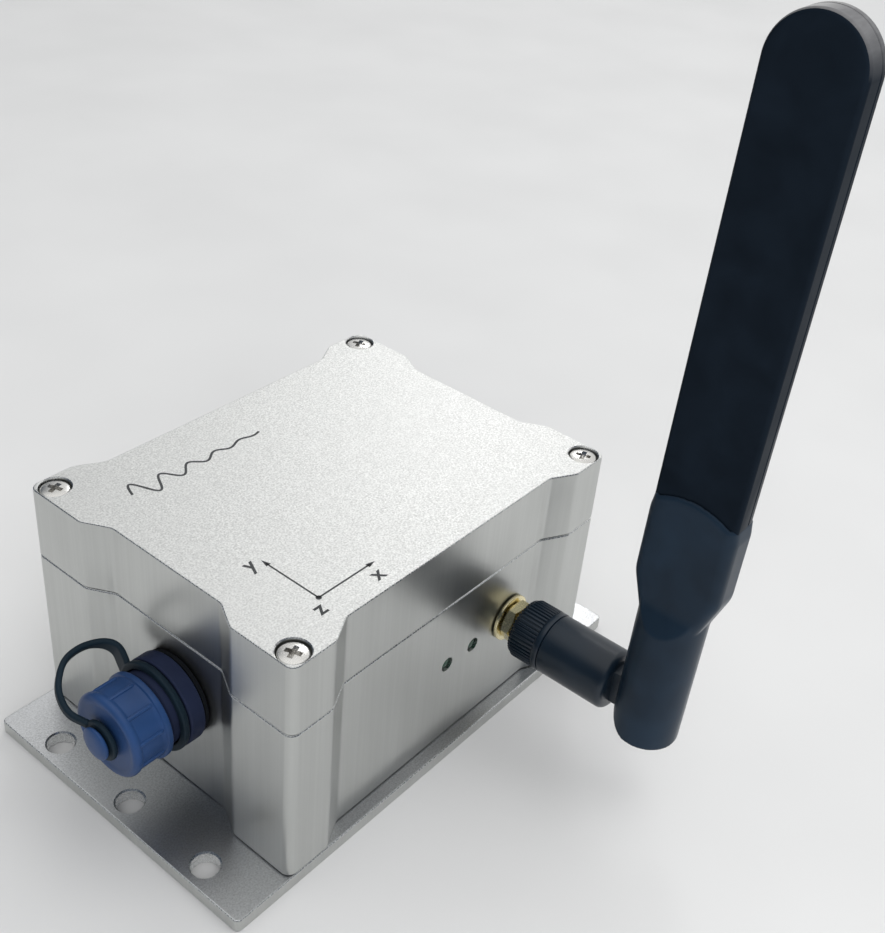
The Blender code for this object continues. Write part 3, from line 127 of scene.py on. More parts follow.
# %% Material helpers
class Finish:
    """One material, with short calls that add a node and return its output socket."""

    def __init__(self, name, roughness=0.5, metallic=0.0, specular=0.5):
        self.material = bpy.data.materials.new(name)
        self.material.use_nodes = True
        self.tree = self.material.node_tree
        self.shader = self.tree.nodes["Principled BSDF"]
        self.use(Roughness=roughness, Metallic=metallic, Specular_IOR_Level=specular)
        self.place = self.add("ShaderNodeTexCoord").outputs["Object"]

    def add(self, kind, **inputs):
        return add_node(self.tree, kind, **inputs)

    def use(self, **sockets):
        """Fill the shader's sockets."""
        set_inputs(self.shader, sockets)
        return self.material

    def noise(self, size, detail=2.0, stretch=(1, 1, 1), distortion=0.0):
        """Noise whose features are about size metres across, drawn out by stretch along X, Y and Z."""
        scale = [1 / (size * factor) for factor in stretch]
        mapping = self.add("ShaderNodeMapping", Vector=self.place, Scale=scale)
        made = self.add("ShaderNodeTexNoise", Vector=mapping.outputs["Vector"], Scale=1.0, Detail=detail,
                        Distortion=distortion)
        return made.outputs["Fac"]

    def span(self, value, low, high, start=0.3, end=0.7):
        """A value that runs from low to high while the input runs from start to end."""
        made = self.add("ShaderNodeMapRange", Value=value, From_Min=start, From_Max=end, To_Min=low,
                        To_Max=high)
        return made.outputs["Result"]

    def mix(self, share, first, second):
        return mixed(self.tree, share, first, second)

    def shaded(self, value, colour, dark, bright):
        """A colour times one factor where the value is low, and times another where it is high."""
        return self.mix(self.span(value, 0, 1), tinted(colour, dark), tinted(colour, bright))

    def bump(self, height, strength, depth):
        """Relief of about depth metres."""
        return self.add("ShaderNodeBump", Height=height, Strength=strength, Distance=depth).outputs["Normal"]

    def coat(self, colour, roughness, relief):
        return self.use(Base_Color=colour, Roughness=roughness, Normal=relief)


def tinted(colour, factor):
    return tuple(min(1.0, part * factor) for part in colour)

# %% [markdown]
# ## Aluminium in three finishes
#
# The lid's top and the plate are blasted with fine grit: tiny pits about a third of a millimetre
# apart scatter the light, so the metal looks nearly white and faintly sparkling. The side walls
# come straight from an extrusion and keep soft upright streaks. The edges were cut with a sharp
# tool after that, so they are the brightest and smoothest places.

# %% Aluminium
def blasted_metal(name, colour, matt):
    finish = Finish(name, metallic=1.0)
    grit = finish.noise(0.34 * MM, detail=3)
    clouds = finish.noise(22 * MM)
    pale = finish.shaded(grit, colour, 0.76, 1.13)
    toned = finish.mix(finish.span(clouds, 0, 0.35), pale, tinted(colour, 0.93))
    gloss = finish.span(grit, matt + 0.06, matt - 0.06)
    return finish.coat(toned, gloss, finish.bump(grit, 0.5, 0.035 * MM))


def drawn_metal(name, colour):
    finish = Finish(name, metallic=1.0)
    streaks = finish.noise(0.55 * MM, detail=4, stretch=(1, 1, 90))
    bands = finish.noise(5 * MM, stretch=(1, 1, 14))
    clouds = finish.noise(16 * MM, detail=1)
    streaked = finish.shaded(streaks, colour, 0.96, 1.03)
    banded = finish.mix(finish.span(bands, 0, 0.4), streaked, tinted(colour, 0.88))
    gloss = finish.span(clouds, 0.3, 0.38)
    return finish.coat(banded, gloss, finish.bump(streaks, 0.07, 0.01 * MM))


def cut_metal(name, colour, roughness):
    finish = Finish(name, metallic=1.0)
    marks = finish.noise(0.3 * MM, detail=3)
    patches = finish.noise(3.6 * MM)
    toned = finish.shaded(patches, colour, 0.93, 1.03)
    gloss = finish.span(marks, roughness, roughness + 0.1)
    return finish.coat(toned, gloss, finish.bump(marks, 0.08, 0.01 * MM))


BLASTED = blasted_metal("blasted_aluminium", (0.82, 0.825, 0.815), 0.55)
PLATE_BLASTED = blasted_metal("blasted_plate", (0.70, 0.71, 0.725), 0.38)
SATIN = drawn_metal("satin_aluminium", (0.56, 0.57, 0.555))
CUT_EDGE = cut_metal("cut_aluminium_edge", (0.78, 0.79, 0.79), 0.22)
NICKEL = cut_metal("nickel_plate", (0.72, 0.71, 0.69), 0.2)
GOLD = cut_metal("gold_plate", (0.86, 0.77, 0.49), 0.2)
BRASS = cut_metal("brass", (0.68, 0.50, 0.24), 0.28)
DARK_STEEL = cut_metal("blackened_steel", (0.06, 0.06, 0.065), 0.35)

# %% [markdown]
# ## Plastics and rubber
#
# Moulded plastic copies the spark-eroded wall of its mould: a fine even grain, a slightly uneven
# gloss, and faint flow clouds in its colour. One recipe serves all of them, with its own colour,
# grain and gloss each time. The antenna's parts look matt when seen squarely and shine at flat
# angles, so a Layer Weight node sets their gloss. The collar and barrel are smoother than the rest.
# The blade's rim has a painted highlight: its colour turns grey near the tip.

# %% Plastics
# Heights where the painted highlight at the blade's tip starts and where it is full.
PAINTED_SHEEN_FROM = 149 * MM
PAINTED_SHEEN_FULLY = 155.5 * MM


def moulded(name, colour, roughness, grain=0.18 * MM, relief=0.12, specular=0.3):
    finish = Finish(name, specular=specular)
    texture = finish.noise(grain, detail=3)
    clouds = finish.noise(9 * MM, distortion=0.4)
    toned = finish.shaded(clouds, colour, 0.82, 1.2)
    gloss = finish.span(clouds, roughness - 0.04, roughness + 0.05)
    finish.coat(toned, gloss, finish.bump(texture, relief, 0.02 * MM))
    return finish


def antenna_plastic(name, colour, roughness, face_on, edge_on, tip_sheen=None):
    """Moulded plastic whose gloss shows at flat angles only. Its tip can carry a painted highlight: grey
    mixed into its colour near the top.
    """
    finish = moulded(name, colour, roughness)
    slant = finish.add("ShaderNodeLayerWeight", Blend=0.5).outputs["Facing"]
    finish.use(Specular_IOR_Level=finish.span(slant, face_on, edge_on, 0.72, 0.88))
    # Painted highlight: grey mixed into the colour near the tip, in place of the mirrored sky.
    if tip_sheen:
        height = finish.add("ShaderNodeSeparateXYZ", Vector=finish.place).outputs["Z"]
        sheen_mottle = finish.noise(0.8 * MM, detail=3, stretch=(4, 1, 1))
        sheen_grey = finish.mix(sheen_mottle, tinted(tip_sheen, 0.7), tinted(tip_sheen, 1.25))
        share = finish.span(height, 0, 1, PAINTED_SHEEN_FROM, PAINTED_SHEEN_FULLY)
        finish.use(Base_Color=finish.mix(share, colour, sheen_grey))
    return finish.material


BLADE_COLOUR = (0.0085, 0.0135, 0.021)
BLADE_BLACK = antenna_plastic("blade_plastic", BLADE_COLOUR, 0.34, 0.02, 1.0)
# The rim's grey near the tip is a painted highlight.
BLADE_RIM = antenna_plastic("blade_rim_plastic", BLADE_COLOUR, 0.34, 0.02, 1.0, (0.17, 0.17, 0.175))
ANTENNA_BLACK = antenna_plastic("antenna_plastic", (0.012, 0.024, 0.041), 0.36, 0.15, 0.9)
ELBOW_BLACK = antenna_plastic("elbow_plastic", (0.0055, 0.012, 0.021), 0.33, 0.45, 0.9)
CONNECTOR_BLACK = moulded("connector_plastic", (0.017, 0.023, 0.050), 0.5, specular=0.08).material
CAP_BLUE = moulded("cap_plastic", (0.0185, 0.051, 0.145), 0.4, specular=0.25).material
TETHER_RUBBER = moulded("tether_rubber", (0.009, 0.018, 0.027), 0.5, 0.25 * MM, specular=0.12).material
SEAL_RUBBER = moulded("seal_rubber", (0.007, 0.008, 0.010), 0.7, 0.3 * MM, 0.3, 0.1).material
DARK_PLASTIC = moulded("moulded_plastic", (0.02, 0.02, 0.022), 0.48).material
WHITE_PLASTIC = moulded("white_insulator", (0.78, 0.77, 0.73), 0.45).material
CELL_WRAP = moulded("cell_wrap", (0.05, 0.16, 0.06), 0.3, 0.5 * MM).material
PRINT_INK = moulded("print_ink", (0.05, 0.052, 0.055), 0.6, 0.12 * MM).material
LAMP_LENS = moulded("lamp_lens", (0.006, 0.04, 0.022), 0.15, relief=0.03, specular=0.4).material


def board_finish():
    """Green lacquer over a weave of glass cloth, with paler copper areas below it."""
    finish = Finish("circuit_board")
    weave = finish.noise(0.5 * MM, detail=1, stretch=(4, 1, 1))
    areas = finish.noise(4 * MM, detail=0)
    copper = finish.span(areas, 0, 1, 0.48, 0.5)
    toned = finish.mix(copper, (0.008, 0.07, 0.03), (0.02, 0.14, 0.06))
    gloss = finish.span(weave, 0.3, 0.42)
    return finish.coat(toned, gloss, finish.bump(copper, 0.3, 0.03 * MM))


BOARD_GREEN = board_finish()

# %% [markdown]
# ## Building blocks for outlines
#
# Most pieces are either turned about an axis or skinned over a stack of flat outlines. An outline
# is a polygon with rounded corners, or arcs and points in a row. A chamfer or a rounded edge is
# then just one more outline, set in a little from the last.

# %% Outlines
def rounded_polygon(corners, step=10):
    """Outline of a polygon whose corners, each (x, y, radius), become arcs of step degrees a side."""
    points = []
    for index, (x, y, radius) in enumerate(corners):
        corner = Vector((x, y))
        before = (Vector(corners[index - 1][:2]) - corner).normalized()
        after = (Vector(corners[(index + 1) % len(corners)][:2]) - corner).normalized()
        if radius <= 0:
            points.append(corner)
            continue
        half_angle = before.angle(after) / 2
        reach = radius / math.tan(half_angle)
        centre = corner + (before + after).normalized() * (radius / math.sin(half_angle))
        start = corner + before * reach - centre
        end = corner + after * reach - centre
        sweep = start.angle_signed(end)
        segments = max(1, math.ceil(abs(math.degrees(sweep)) / step - 0.01))
        for number in range(segments + 1):
            points.append(centre + Matrix.Rotation(-sweep * number / segments, 2) @ start)
    return points


def rectangle(length, width, radius, step=10):
    x = length / 2
    y = width / 2
    return rounded_polygon([(x, y, radius), (-x, y, radius), (-x, -y, radius), (x, -y, radius)], step)


def arc(centre, radius, start, end, points):
    """Points of an arc. Angles are in degrees, and in a profile 0 points away from the axis."""
    angles = [math.radians(start + (end - start) * number / (points - 1)) for number in range(points)]
    return [(centre[0] + radius * math.cos(angle), centre[1] + radius * math.sin(angle)) for angle in angles]


def in_mm(points, radius=0.0):
    """Points given in millimetres, whose first numbers count from a radius in metres."""
    return [(radius + across * MM, along * MM) for across, along in points]


def set_in(outline, amount):
    """The outline moved inwards by an amount, point for point. It runs anticlockwise."""
    outline = [Vector(point) for point in outline]
    moved_in = []
    for index, point in enumerate(outline):
        before = (point - outline[index - 1]).normalized()
        after = (outline[(index + 1) % len(outline)] - point).normalized()
        first = Vector((-before.y, before.x))
        middle = (first + Vector((-after.y, after.x))).normalized()
        moved_in.append(point + middle * (amount / max(0.3, middle.dot(first))))
    return moved_in


def rounded_edge(height, radius, up):
    """Levels of a rounded edge that ends at a height: the top one when up is 1, the bottom one for -1."""
    turns = [math.radians(22.5 * number) for number in range(5)]
    levels = [(height - up * radius * (1 - math.sin(turn)), radius * (1 - math.cos(turn))) for turn in turns]
    return levels[::up]

# %% [markdown]
# ## Building blocks for solids
#
# These helpers skin outlines, spin profiles, and cut or join what they made. Cuts use exact
# booleans, which are settled at once so that each piece ends as a plain mesh.

# %% Solids
ALONG_X = Matrix.Rotation(math.pi / 2, 4, "Y")
INTO_YZ = Matrix(((0, 0, 1, 0), (1, 0, 0, 0), (0, 1, 0, 0), (0, 0, 0, 1)))
INTO_XZ = Matrix(((1, 0, 0, 0), (0, 0, -1, 0), (0, 1, 0, 0), (0, 0, 0, 1)))
AS_IT_IS = Matrix.Identity(4)


def facing(place, towards):
    """Matrix that stands a shape at a place with its own Z towards a direction."""
    return Matrix.Translation(place) @ UP.rotation_difference(Vector(towards)).to_matrix().to_4x4()


def lofted(rings):
    """Skin a closed body over rings of equal point counts."""
    bm = bmesh.new()
    rows = [[bm.verts.new(point) for point in ring] for ring in rings]
    for lower, upper in zip(rows, rows[1:]):
        for index in range(len(lower)):
            following = (index + 1) % len(lower)
            bm.faces.new((lower[index], lower[following], upper[following], upper[index]))
    bm.faces.new(rows[0])
    bm.faces.new(rows[-1])
    return bm


def turned(profile, steps=96):
    """Spin a profile of (radius, height) pairs about Z."""
    bm = bmesh.new()
    chain = [bm.verts.new((radius, 0, height)) for radius, height in profile]
    links = [bm.edges.new(pair) for pair in zip(chain, chain[1:])]
    if profile[0][0] > 0 or profile[-1][0] > 0:
        links.append(bm.edges.new((chain[-1], chain[0])))
    bmesh.ops.spin(bm, geom=chain + links, axis=(0, 0, 1), cent=(0, 0, 0), angle=math.tau, steps=steps)
    bmesh.ops.remove_doubles(bm, verts=bm.verts, dist=0.0001 * MM)
    return bm


def shape(bm, place=AS_IT_IS):
    """A loose object from a mesh, with its faces turned outwards."""
    bmesh.ops.transform(bm, matrix=place, verts=bm.verts)
    bmesh.ops.recalc_face_normals(bm, faces=bm.faces)
    mesh = bpy.data.meshes.new("shape")
    bm.to_mesh(mesh)
    bm.free()
    return add_object("shape", mesh)


def stacked(outline, levels, place=AS_IT_IS):
    """Skin over one outline at several levels, each (height, how far it is set in)."""
    rings = [[(*point, height) for point in set_in(outline, amount)] for height, amount in levels]
    return shape(lofted(rings), place)


def slab(outline, low, high, place=AS_IT_IS):
    return stacked(outline, [(low, 0), (high, 0)], place)


def block(outline, low, low_edge, high, high_edge):
    """A solid over an outline, with a rounded edge below and above."""
    return stacked(outline, rounded_edge(low, low_edge, -1) + rounded_edge(high, high_edge, 1))


def rod(radius, low, high, steps=48, place=AS_IT_IS):
    return shape(turned([(0, low), (radius, low), (radius, high), (0, high)], steps), place)


def moved(made, matrix):
    made.data.transform(matrix)
    return made


def joined(made, *others):
    """Merge other shapes' meshes into one object."""
    bm = bmesh.new()
    for item in (made, *others):
        bm.from_mesh(item.data)
    bm.to_mesh(made.data)
    bm.free()
    for item in others:
        bpy.data.objects.remove(item)
    return made


def as_mesh(made):
    bpy.context.view_layer.update()
    return bpy.data.meshes.new_from_object(made.evaluated_get(bpy.context.evaluated_depsgraph_get()))


def settled(made):
    """Turn an object's modifiers into mesh."""
    mesh = as_mesh(made)
    made.modifiers.clear()
    made.data = mesh
    return made


def carved(made, tools, operation="DIFFERENCE"):
    """Cut tools out of a shape one by one, or join them on, and throw the tools away."""
    for tool in tools:
        step = made.modifiers.new("cut", "BOOLEAN")
        step.operation = operation
        step.solver = "EXACT"
        step.object = tool
    settled(made)
    for tool in tools:
        bpy.data.objects.remove(tool)
    return made


def piece(name, made, coats, body, stands_for=(), coat_of=None, sharp=32):
    """Name a shape, smooth it, give it its materials, and let it ride on a body of the frame."""
    made.name = name
    mesh = made.data
    mesh.name = name
    mesh.materials.clear()
    for coat in coats:
        mesh.materials.append(coat)
    for face in mesh.polygons:
        face.material_index = coat_of(face) if coat_of else 0
    mesh.shade_smooth()
    mesh.set_sharp_from_angle(angle=math.radians(sharp))
    if sharp < 180:
        made.modifiers.new("normals", "WEIGHTED_NORMAL").keep_sharp = True
        mesh = settled(made).data
        mesh.name = name
    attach(made, body)
    if stands_for:
        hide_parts(*stands_for)
    print(f"{name}: {len(mesh.polygons)} faces, rides on {body}")
    return made

# %% [markdown]
# ## Geometry Nodes for what repeats
#
# Screws, holes, ribs and grips are one shape many times over. Three small node trees do that: one
# stands copies on the points of a grid, one turns copies round an axis, and one winds a thread.
# Each tree has named inputs, ends in Realize Instances and Set Material, and its result is kept
# as a plain mesh.

# %% Node trees
def new_tree(name, **inputs):
    """A tree whose inputs are named with their kinds, and the outputs that hand them on."""
    tree = bpy.data.node_groups.new(name, "GeometryNodeTree")
    for label, kind in {"Geometry": "Geometry", **inputs}.items():
        tree.interface.new_socket(label, in_out="INPUT", socket_type=f"NodeSocket{kind}")
    tree.interface.new_socket("Geometry", in_out="OUTPUT", socket_type="NodeSocketGeometry")
    return tree, tree.nodes.new("NodeGroupInput").outputs


def end_tree(tree, last, material):
    real = add_node(tree, "GeometryNodeRealizeInstances", Geometry=last.outputs[0])
    coated = add_node(tree, "GeometryNodeSetMaterial", Geometry=real.outputs[0], Material=material)
    add_node(tree, "NodeGroupOutput", Geometry=coated.outputs[0])
    return tree


def grid_tree():
    """Copies of a shape on the points of a level grid round the origin."""
    tree, given = new_tree("stand_on_grid", Length="Float", Width="Float", Along="Int", Across="Int",
                           Material="Material")
    grid = add_node(tree, "GeometryNodeMeshGrid", Size_X=given["Length"], Size_Y=given["Width"],
                    Vertices_X=given["Along"], Vertices_Y=given["Across"])
    copies = add_node(tree, "GeometryNodeInstanceOnPoints", Points=grid.outputs["Mesh"],
                      Instance=given["Geometry"])
    return end_tree(tree, copies, given["Material"])


def ring_tree():
    """Copies of a shape turned evenly about Z."""
    tree, given = new_tree("turn_about_axis", Count="Int", Material="Material")
    line = add_node(tree, "GeometryNodeMeshLine", Count=given["Count"], Offset=(0, 0, 0))
    number = add_node(tree, "GeometryNodeInputIndex").outputs[0]
    angle = maths(tree, "MULTIPLY", maths(tree, "DIVIDE", number, given["Count"]), math.tau)
    euler = add_node(tree, "ShaderNodeCombineXYZ", Z=angle)
    rotation = add_node(tree, "FunctionNodeEulerToRotation", Euler=euler.outputs[0])
    copies = add_node(tree, "GeometryNodeInstanceOnPoints", Points=line.outputs[0],
                      Instance=given["Geometry"], Rotation=rotation.outputs[0])
    return end_tree(tree, copies, given["Material"])


def thread_tree():
    """A rounded ridge that winds about Z, from a spiral and a small round profile."""
    tree, given = new_tree("wind_thread", Radius="Float", Height="Float", Turns="Float", Depth="Float",
                           Material="Material")
    spiral = add_node(tree, "GeometryNodeCurveSpiral", Resolution=72, Rotations=given["Turns"],
                      Start_Radius=given["Radius"], End_Radius=given["Radius"], Height=given["Height"])
    profile = add_node(tree, "GeometryNodeCurvePrimitiveCircle", Resolution=8, Radius=given["Depth"])
    ridge = add_node(tree, "GeometryNodeCurveToMesh", Curve=spiral.outputs[0],
                     Profile_Curve=profile.outputs[0], Fill_Caps=True)
    return end_tree(tree, ridge, given["Material"])


ON_GRID = grid_tree()
ABOUT_AXIS = ring_tree()
THREAD = thread_tree()


def grown(seed, tree, height=0.0, **values):
    """Run a tree on a shape, keep the result as the shape's mesh, and raise it to a height."""
    step = seed.modifiers.new(tree.name, "NODES")
    step.node_group = tree
    for socket in tree.interface.items_tree:
        if socket.in_out == "INPUT" and socket.name in values:
            step[socket.identifier] = values[socket.name]
    return moved(settled(seed), Matrix.Translation((0, 0, height)))


def on_grid(made, length, width, along, across, coat=None, height=0.0):
    return grown(made, ON_GRID, height, Length=length, Width=width, Along=along, Across=across,
                 Material=coat)


def thread(radius, start, length, turns, depth, coat):
    return grown(rod(MM, 0, MM), THREAD, start, Radius=radius, Height=length, Turns=turns, Depth=depth,
                 Material=coat)

# %% [markdown]
# ## Mounting plate
#
# The plate is 3 mm thick, with three holes in each flange. It is skinned over one outline with
# rounded edges above and below, and one cutter with flared ends is stood on a 2 by 3 grid to
# drill all six holes. Its broad faces are blasted, its sides are drawn, and its edges are bright.

# %% Mounting plate
BOX_LENGTH = 90 * MM
BOX_WIDTH = 70 * MM
PLATE_LENGTH = 115 * MM
PLATE_THICKNESS = 3 * MM
PLATE_CORNER = 1.2 * MM
PLATE_EDGE = 0.3 * MM
HOLE_RADIUS = 2.75 * MM
HOLE_FLARE = 0.3 * MM
MOUNT_HOLES = (106 * MM, 43 * MM, 2, 3)
FLOOR_SCREWS = (44 * MM, 30 * MM, 2, 2)
SCREW_BORE = 1.75 * MM
HEAD_BORE = 3.1 * MM
OVERRUN = 1 * MM

plate_outline = rectangle(PLATE_LENGTH, BOX_WIDTH, PLATE_CORNER, 7.5)
plate = block(plate_outline, 0, PLATE_EDGE, PLATE_THICKNESS, PLATE_EDGE)
wide = HOLE_RADIUS + HOLE_FLARE + OVERRUN
flared_drill = turned([
    (0, -OVERRUN), (wide, -OVERRUN), (HOLE_RADIUS, HOLE_FLARE), (HOLE_RADIUS, PLATE_THICKNESS - HOLE_FLARE),
    (wide, PLATE_THICKNESS + OVERRUN), (0, PLATE_THICKNESS + OVERRUN)], 64)
countersink = turned([
    (0, -OVERRUN), (HEAD_BORE, -OVERRUN), (HEAD_BORE, 0.775 * MM), (SCREW_BORE, 2.2 * MM),
    (SCREW_BORE, 4 * MM), (0, 4 * MM)], 48)
carved(plate, [on_grid(shape(flared_drill), *MOUNT_HOLES), on_grid(shape(countersink), *FLOOR_SCREWS)])


def plate_coat(face):
    if abs(face.normal.z) > 0.95:
        return 0
    across = face.center.to_2d()
    at_rim = abs(across.x) > PLATE_LENGTH / 2 - 1 * MM or abs(across.y) > BOX_WIDTH / 2 - 1 * MM
    return 1 if at_rim and abs(face.normal.z) < 0.3 else 2


piece("mounting_plate_body", plate, [PLATE_BLASTED, SATIN, CUT_EDGE], "housing", ["mounting_plate"],
      plate_coat)

# %% [markdown]
# ## Base and lid
#
# Both are milled from a thick-walled extrusion, so they share one notched outline: four full corner
# posts, and a panel set back by 3 mm between them on each side. The outline is skinned upwards
# with rounded edges where base and lid meet, which catch the light as a line round the box.

# %% Base and lid outline
BASE_BOTTOM = 3.3 * MM
BASE_TOP = 39.35 * MM
LID_BOTTOM = 39.65 * MM
LID_TOP = 55 * MM
PANEL_RECESS = 3 * MM
WALL = 3.2 * MM
FRONT_FACE = -(BOX_WIDTH / 2 - PANEL_RECESS)
LEFT_FACE = -(BOX_LENGTH / 2 - PANEL_RECESS)


def box_outline():
    x = BOX_LENGTH / 2
    y = BOX_WIDTH / 2
    quarter = [
        (x - PANEL_RECESS, y - 20.5 * MM, 2.5 * MM),
        (x, y - 15 * MM, 2.5 * MM),
        (x, y, 2 * MM),
        (x - 10 * MM, y, 2.5 * MM),
        (x - 15.5 * MM, y - PANEL_RECESS, 2.5 * MM),
    ]
    upper = quarter + [(-px, py, radius) for px, py, radius in reversed(quarter)]
    return rounded_polygon(upper + [(-px, -py, radius) for px, py, radius in upper], 7.5)


outline = box_outline()
cavity = rectangle(BOX_LENGTH - 2 * (PANEL_RECESS + WALL), BOX_WIDTH - 2 * (PANEL_RECESS + WALL), 5 * MM)
LID_SCREW_X = 41.6 * MM
LID_SCREW_Y = 31.6 * MM
LID_SCREWS = (2 * LID_SCREW_X, 2 * LID_SCREW_Y, 2, 2)
SOCKET_PLACE = Vector((20.9 * MM, FRONT_FACE, 24 * MM))
PORT_PLACE = Vector((LEFT_FACE, -2.3 * MM, 26.2 * MM))
FRONT = (0, -1, 0)
LEFT = (-1, 0, 0)
print("outline points:", len(outline))

# %% [markdown]
# ## Base
#
# The base has a cavity from above, four bosses for the plate's screws, and holes in its walls for
# the lamps, the antenna socket and the connector. Each cutter for a wall is turned about its own
# axis and then stood on its place with its own Z looking outwards.

# %% Base
BASE_EDGE = 0.38 * MM
BASE_LOWER_EDGE = 0.25 * MM
FLOOR_THICKNESS = 3 * MM
TAPPED_RADIUS = 1.75 * MM
TAPPED_FROM = 29.5 * MM
BOSS_RADIUS = 4 * MM
BOSS_TOP = 10.3 * MM
BOSS_HOLE_TOP = 8.6 * MM
BORE_REACH = 3.3 * MM
SOCKET_HOLE = 3.4 * MM
PORT_HOLE = 7 * MM
LAMP_HOLE = 1.6 * MM


def wall_drill(radius, place, towards, steps=48):
    """Cutter for a hole through a wall, whose outer mouth is at a place."""
    return rod(radius, -WALL - OVERRUN, OVERRUN, steps, facing(place, towards))


base = block(outline, BASE_BOTTOM, BASE_LOWER_EDGE, BASE_TOP, BASE_EDGE)
gasket_seat = carved(
    slab(set_in(cavity, -2.5 * MM), BASE_TOP - 1 * MM, BASE_TOP + OVERRUN),
    [slab(set_in(cavity, -0.7 * MM), BASE_TOP - 3 * MM, BASE_TOP + 2 * OVERRUN)])
tapped = on_grid(rod(TAPPED_RADIUS, TAPPED_FROM, 41 * MM, 32), *LID_SCREWS)
carved(base, [slab(cavity, BASE_BOTTOM + FLOOR_THICKNESS, BASE_TOP + OVERRUN), gasket_seat, tapped])
carved(base, [on_grid(rod(BOSS_RADIUS, 4.8 * MM, BOSS_TOP), *FLOOR_SCREWS)], "UNION")
lamp_places = [Vector((x * MM, FRONT_FACE, 23.5 * MM)) for x in (1.1, 9.2)]
carved(base, [
    on_grid(rod(SCREW_BORE, 2 * MM, BOSS_HOLE_TOP, 32), *FLOOR_SCREWS),
    wall_drill(SOCKET_HOLE, SOCKET_PLACE, FRONT),
    wall_drill(PORT_HOLE, PORT_PLACE, LEFT, 72),
    *[wall_drill(LAMP_HOLE, place, FRONT) for place in lamp_places]])


def wall_coat(face):
    """Satin on walls, blasted on level faces, bright on rounded edges and in the screws' bores."""
    normal = face.normal
    if abs(normal.z) > 0.95:
        return 1
    if 0.2 < abs(normal.z):
        return 2
    corner = Vector((abs(face.center.x) - LID_SCREW_X, abs(face.center.y) - LID_SCREW_Y))
    return 2 if corner.length < BORE_REACH and corner.dot(normal.to_2d()) < 0 else 0


piece("base_shell", base, [SATIN, BLASTED, CUT_EDGE], "housing", ["base_housing"],
      wall_coat)

# %% [markdown]
# ## Lid
#
# The lid is skinned the same way, hollowed from below, and counterbored at its four corners. Each
# counterbore comes so close to the corner that only a hair of metal is left beside it, and its
# mouth is broken by a small chamfer.

# %% Lid
LID_EDGE = 0.32 * MM
LID_LOWER_EDGE = 0.12 * MM
LID_THICKNESS = 2.7 * MM
BORE_FLOOR = 52.5 * MM
BORE_MOUTH = 0.2 * MM

lid = block(outline, LID_BOTTOM, LID_LOWER_EDGE, LID_TOP, LID_EDGE)
counterbore = turned([
    (0, LID_BOTTOM - OVERRUN), (SCREW_BORE, LID_BOTTOM - OVERRUN), (SCREW_BORE, BORE_FLOOR),
    (HEAD_BORE, BORE_FLOOR), (HEAD_BORE, LID_TOP - BORE_MOUTH),
    (HEAD_BORE + BORE_MOUTH + OVERRUN, LID_TOP + OVERRUN), (0, LID_TOP + OVERRUN)], 72)
carved(lid, [slab(cavity, LID_BOTTOM - OVERRUN, LID_TOP - LID_THICKNESS),
             on_grid(shape(counterbore), *LID_SCREWS)])
piece("lid_shell", lid, [SATIN, BLASTED, CUT_EDGE], "housing", ["lid"], wall_coat)

# %% [markdown]
# ## Screws
#
# The lid screws are nickel-plated pan heads with a cross recess that tapers as it goes down. One
# screw is turned and cut, and the grid tree stands it at the four corners. The countersunk
# screws under the plate are made the same way and turned over.

# %% Screws
def cross_cutter(arm, width, depth):
    """Tapered cross for a driver, with its mouth at height 0."""
    rings = []
    for height, share in ((-depth, 0.55), (0.02 * MM, 1.0), (1 * MM, 1.5)):
        long = arm * share
        half = width / 2 * (0.6 + 0.4 * share)
        cross = [(long, -half), (long, half), (half, half)]
        for _ in range(3):
            cross += [(-y, x) for x, y in cross[-3:]]
        rings.append([(x, y, height) for x, y in cross])
    return shape(lofted(rings))


def screw(profile, arm, width, depth):
    """A screw from its profile in millimetres, with a cross recess."""
    return carved(shape(turned(in_mm(profile), 64)), [cross_cutter(arm, width, depth)])


pan_head = [(0, -24.9), (1.1, -24.9), (1.45, -24.4), (1.45, -1.9), (2.8, -1.9), (2.88, -1.8), (2.88, -0.75)]
pan_head += arc((2.38, -0.7), 0.5, 5, 75, 7)[1:] + [(1.6, -0.07), (0.8, 0), (0, 0.02)]
flat_head = [(0, -8), (1.1, -8), (1.45, -7.6), (1.45, -1.9), (2.8, -0.5), (2.8, -0.05), (2.75, 0), (0, 0)]
lid_screw = moved(screw(pan_head, 1.6 * MM, 1.0 * MM, 1.4 * MM), Matrix.Rotation(math.radians(20), 4, "Z"))
plate_screw = moved(screw(flat_head, 1.5 * MM, 0.95 * MM, 1.3 * MM), Matrix.Rotation(math.pi, 4, "X"))
for kind, one, places, height in (("lid", lid_screw, LID_SCREWS, LID_TOP - BORE_MOUTH),
                                  ("plate", plate_screw, FLOOR_SCREWS, 0.3 * MM)):
    piece(f"{kind}_screws", on_grid(one, *places, NICKEL, height), [NICKEL], "housing",
          [f"{kind}_screw_{number}" for number in range(1, 5)])

# %% [markdown]
# ## Lamps
#
# Two green lamps look out through small holes beside the antenna socket. Each lens is a low dome
# just inside its hole, with a flange behind the wall that stops it from falling out.

# %% Lamps
lens_profile = [(0, -0.3)] + arc((0, -3.3), 3.0, 80, 62, 6)
lens_profile += [(1.5, -0.75), (1.5, -3.5), (2.3, -3.5), (2.3, -4.7), (0, -4.7)]
lamp_gap = (lamp_places[1] - lamp_places[0]).length
lenses = on_grid(shape(turned(in_mm(lens_profile), 40)), lamp_gap, 0.0, 2, 1, LAMP_LENS)
lamps_centre = (lamp_places[0] + lamp_places[1]) / 2
piece("lamp_lenses", moved(lenses, facing(lamps_centre, FRONT)), [LAMP_LENS], "housing",
      ["lamp_lens_1", "lamp_lens_2"])

# %% [markdown]
# ## Printed marks on the lid
#
# The lid is printed with a set of axes that shows which way the sensor measures. Lines, arrowheads
# and letters are flat meshes as thin as ink.

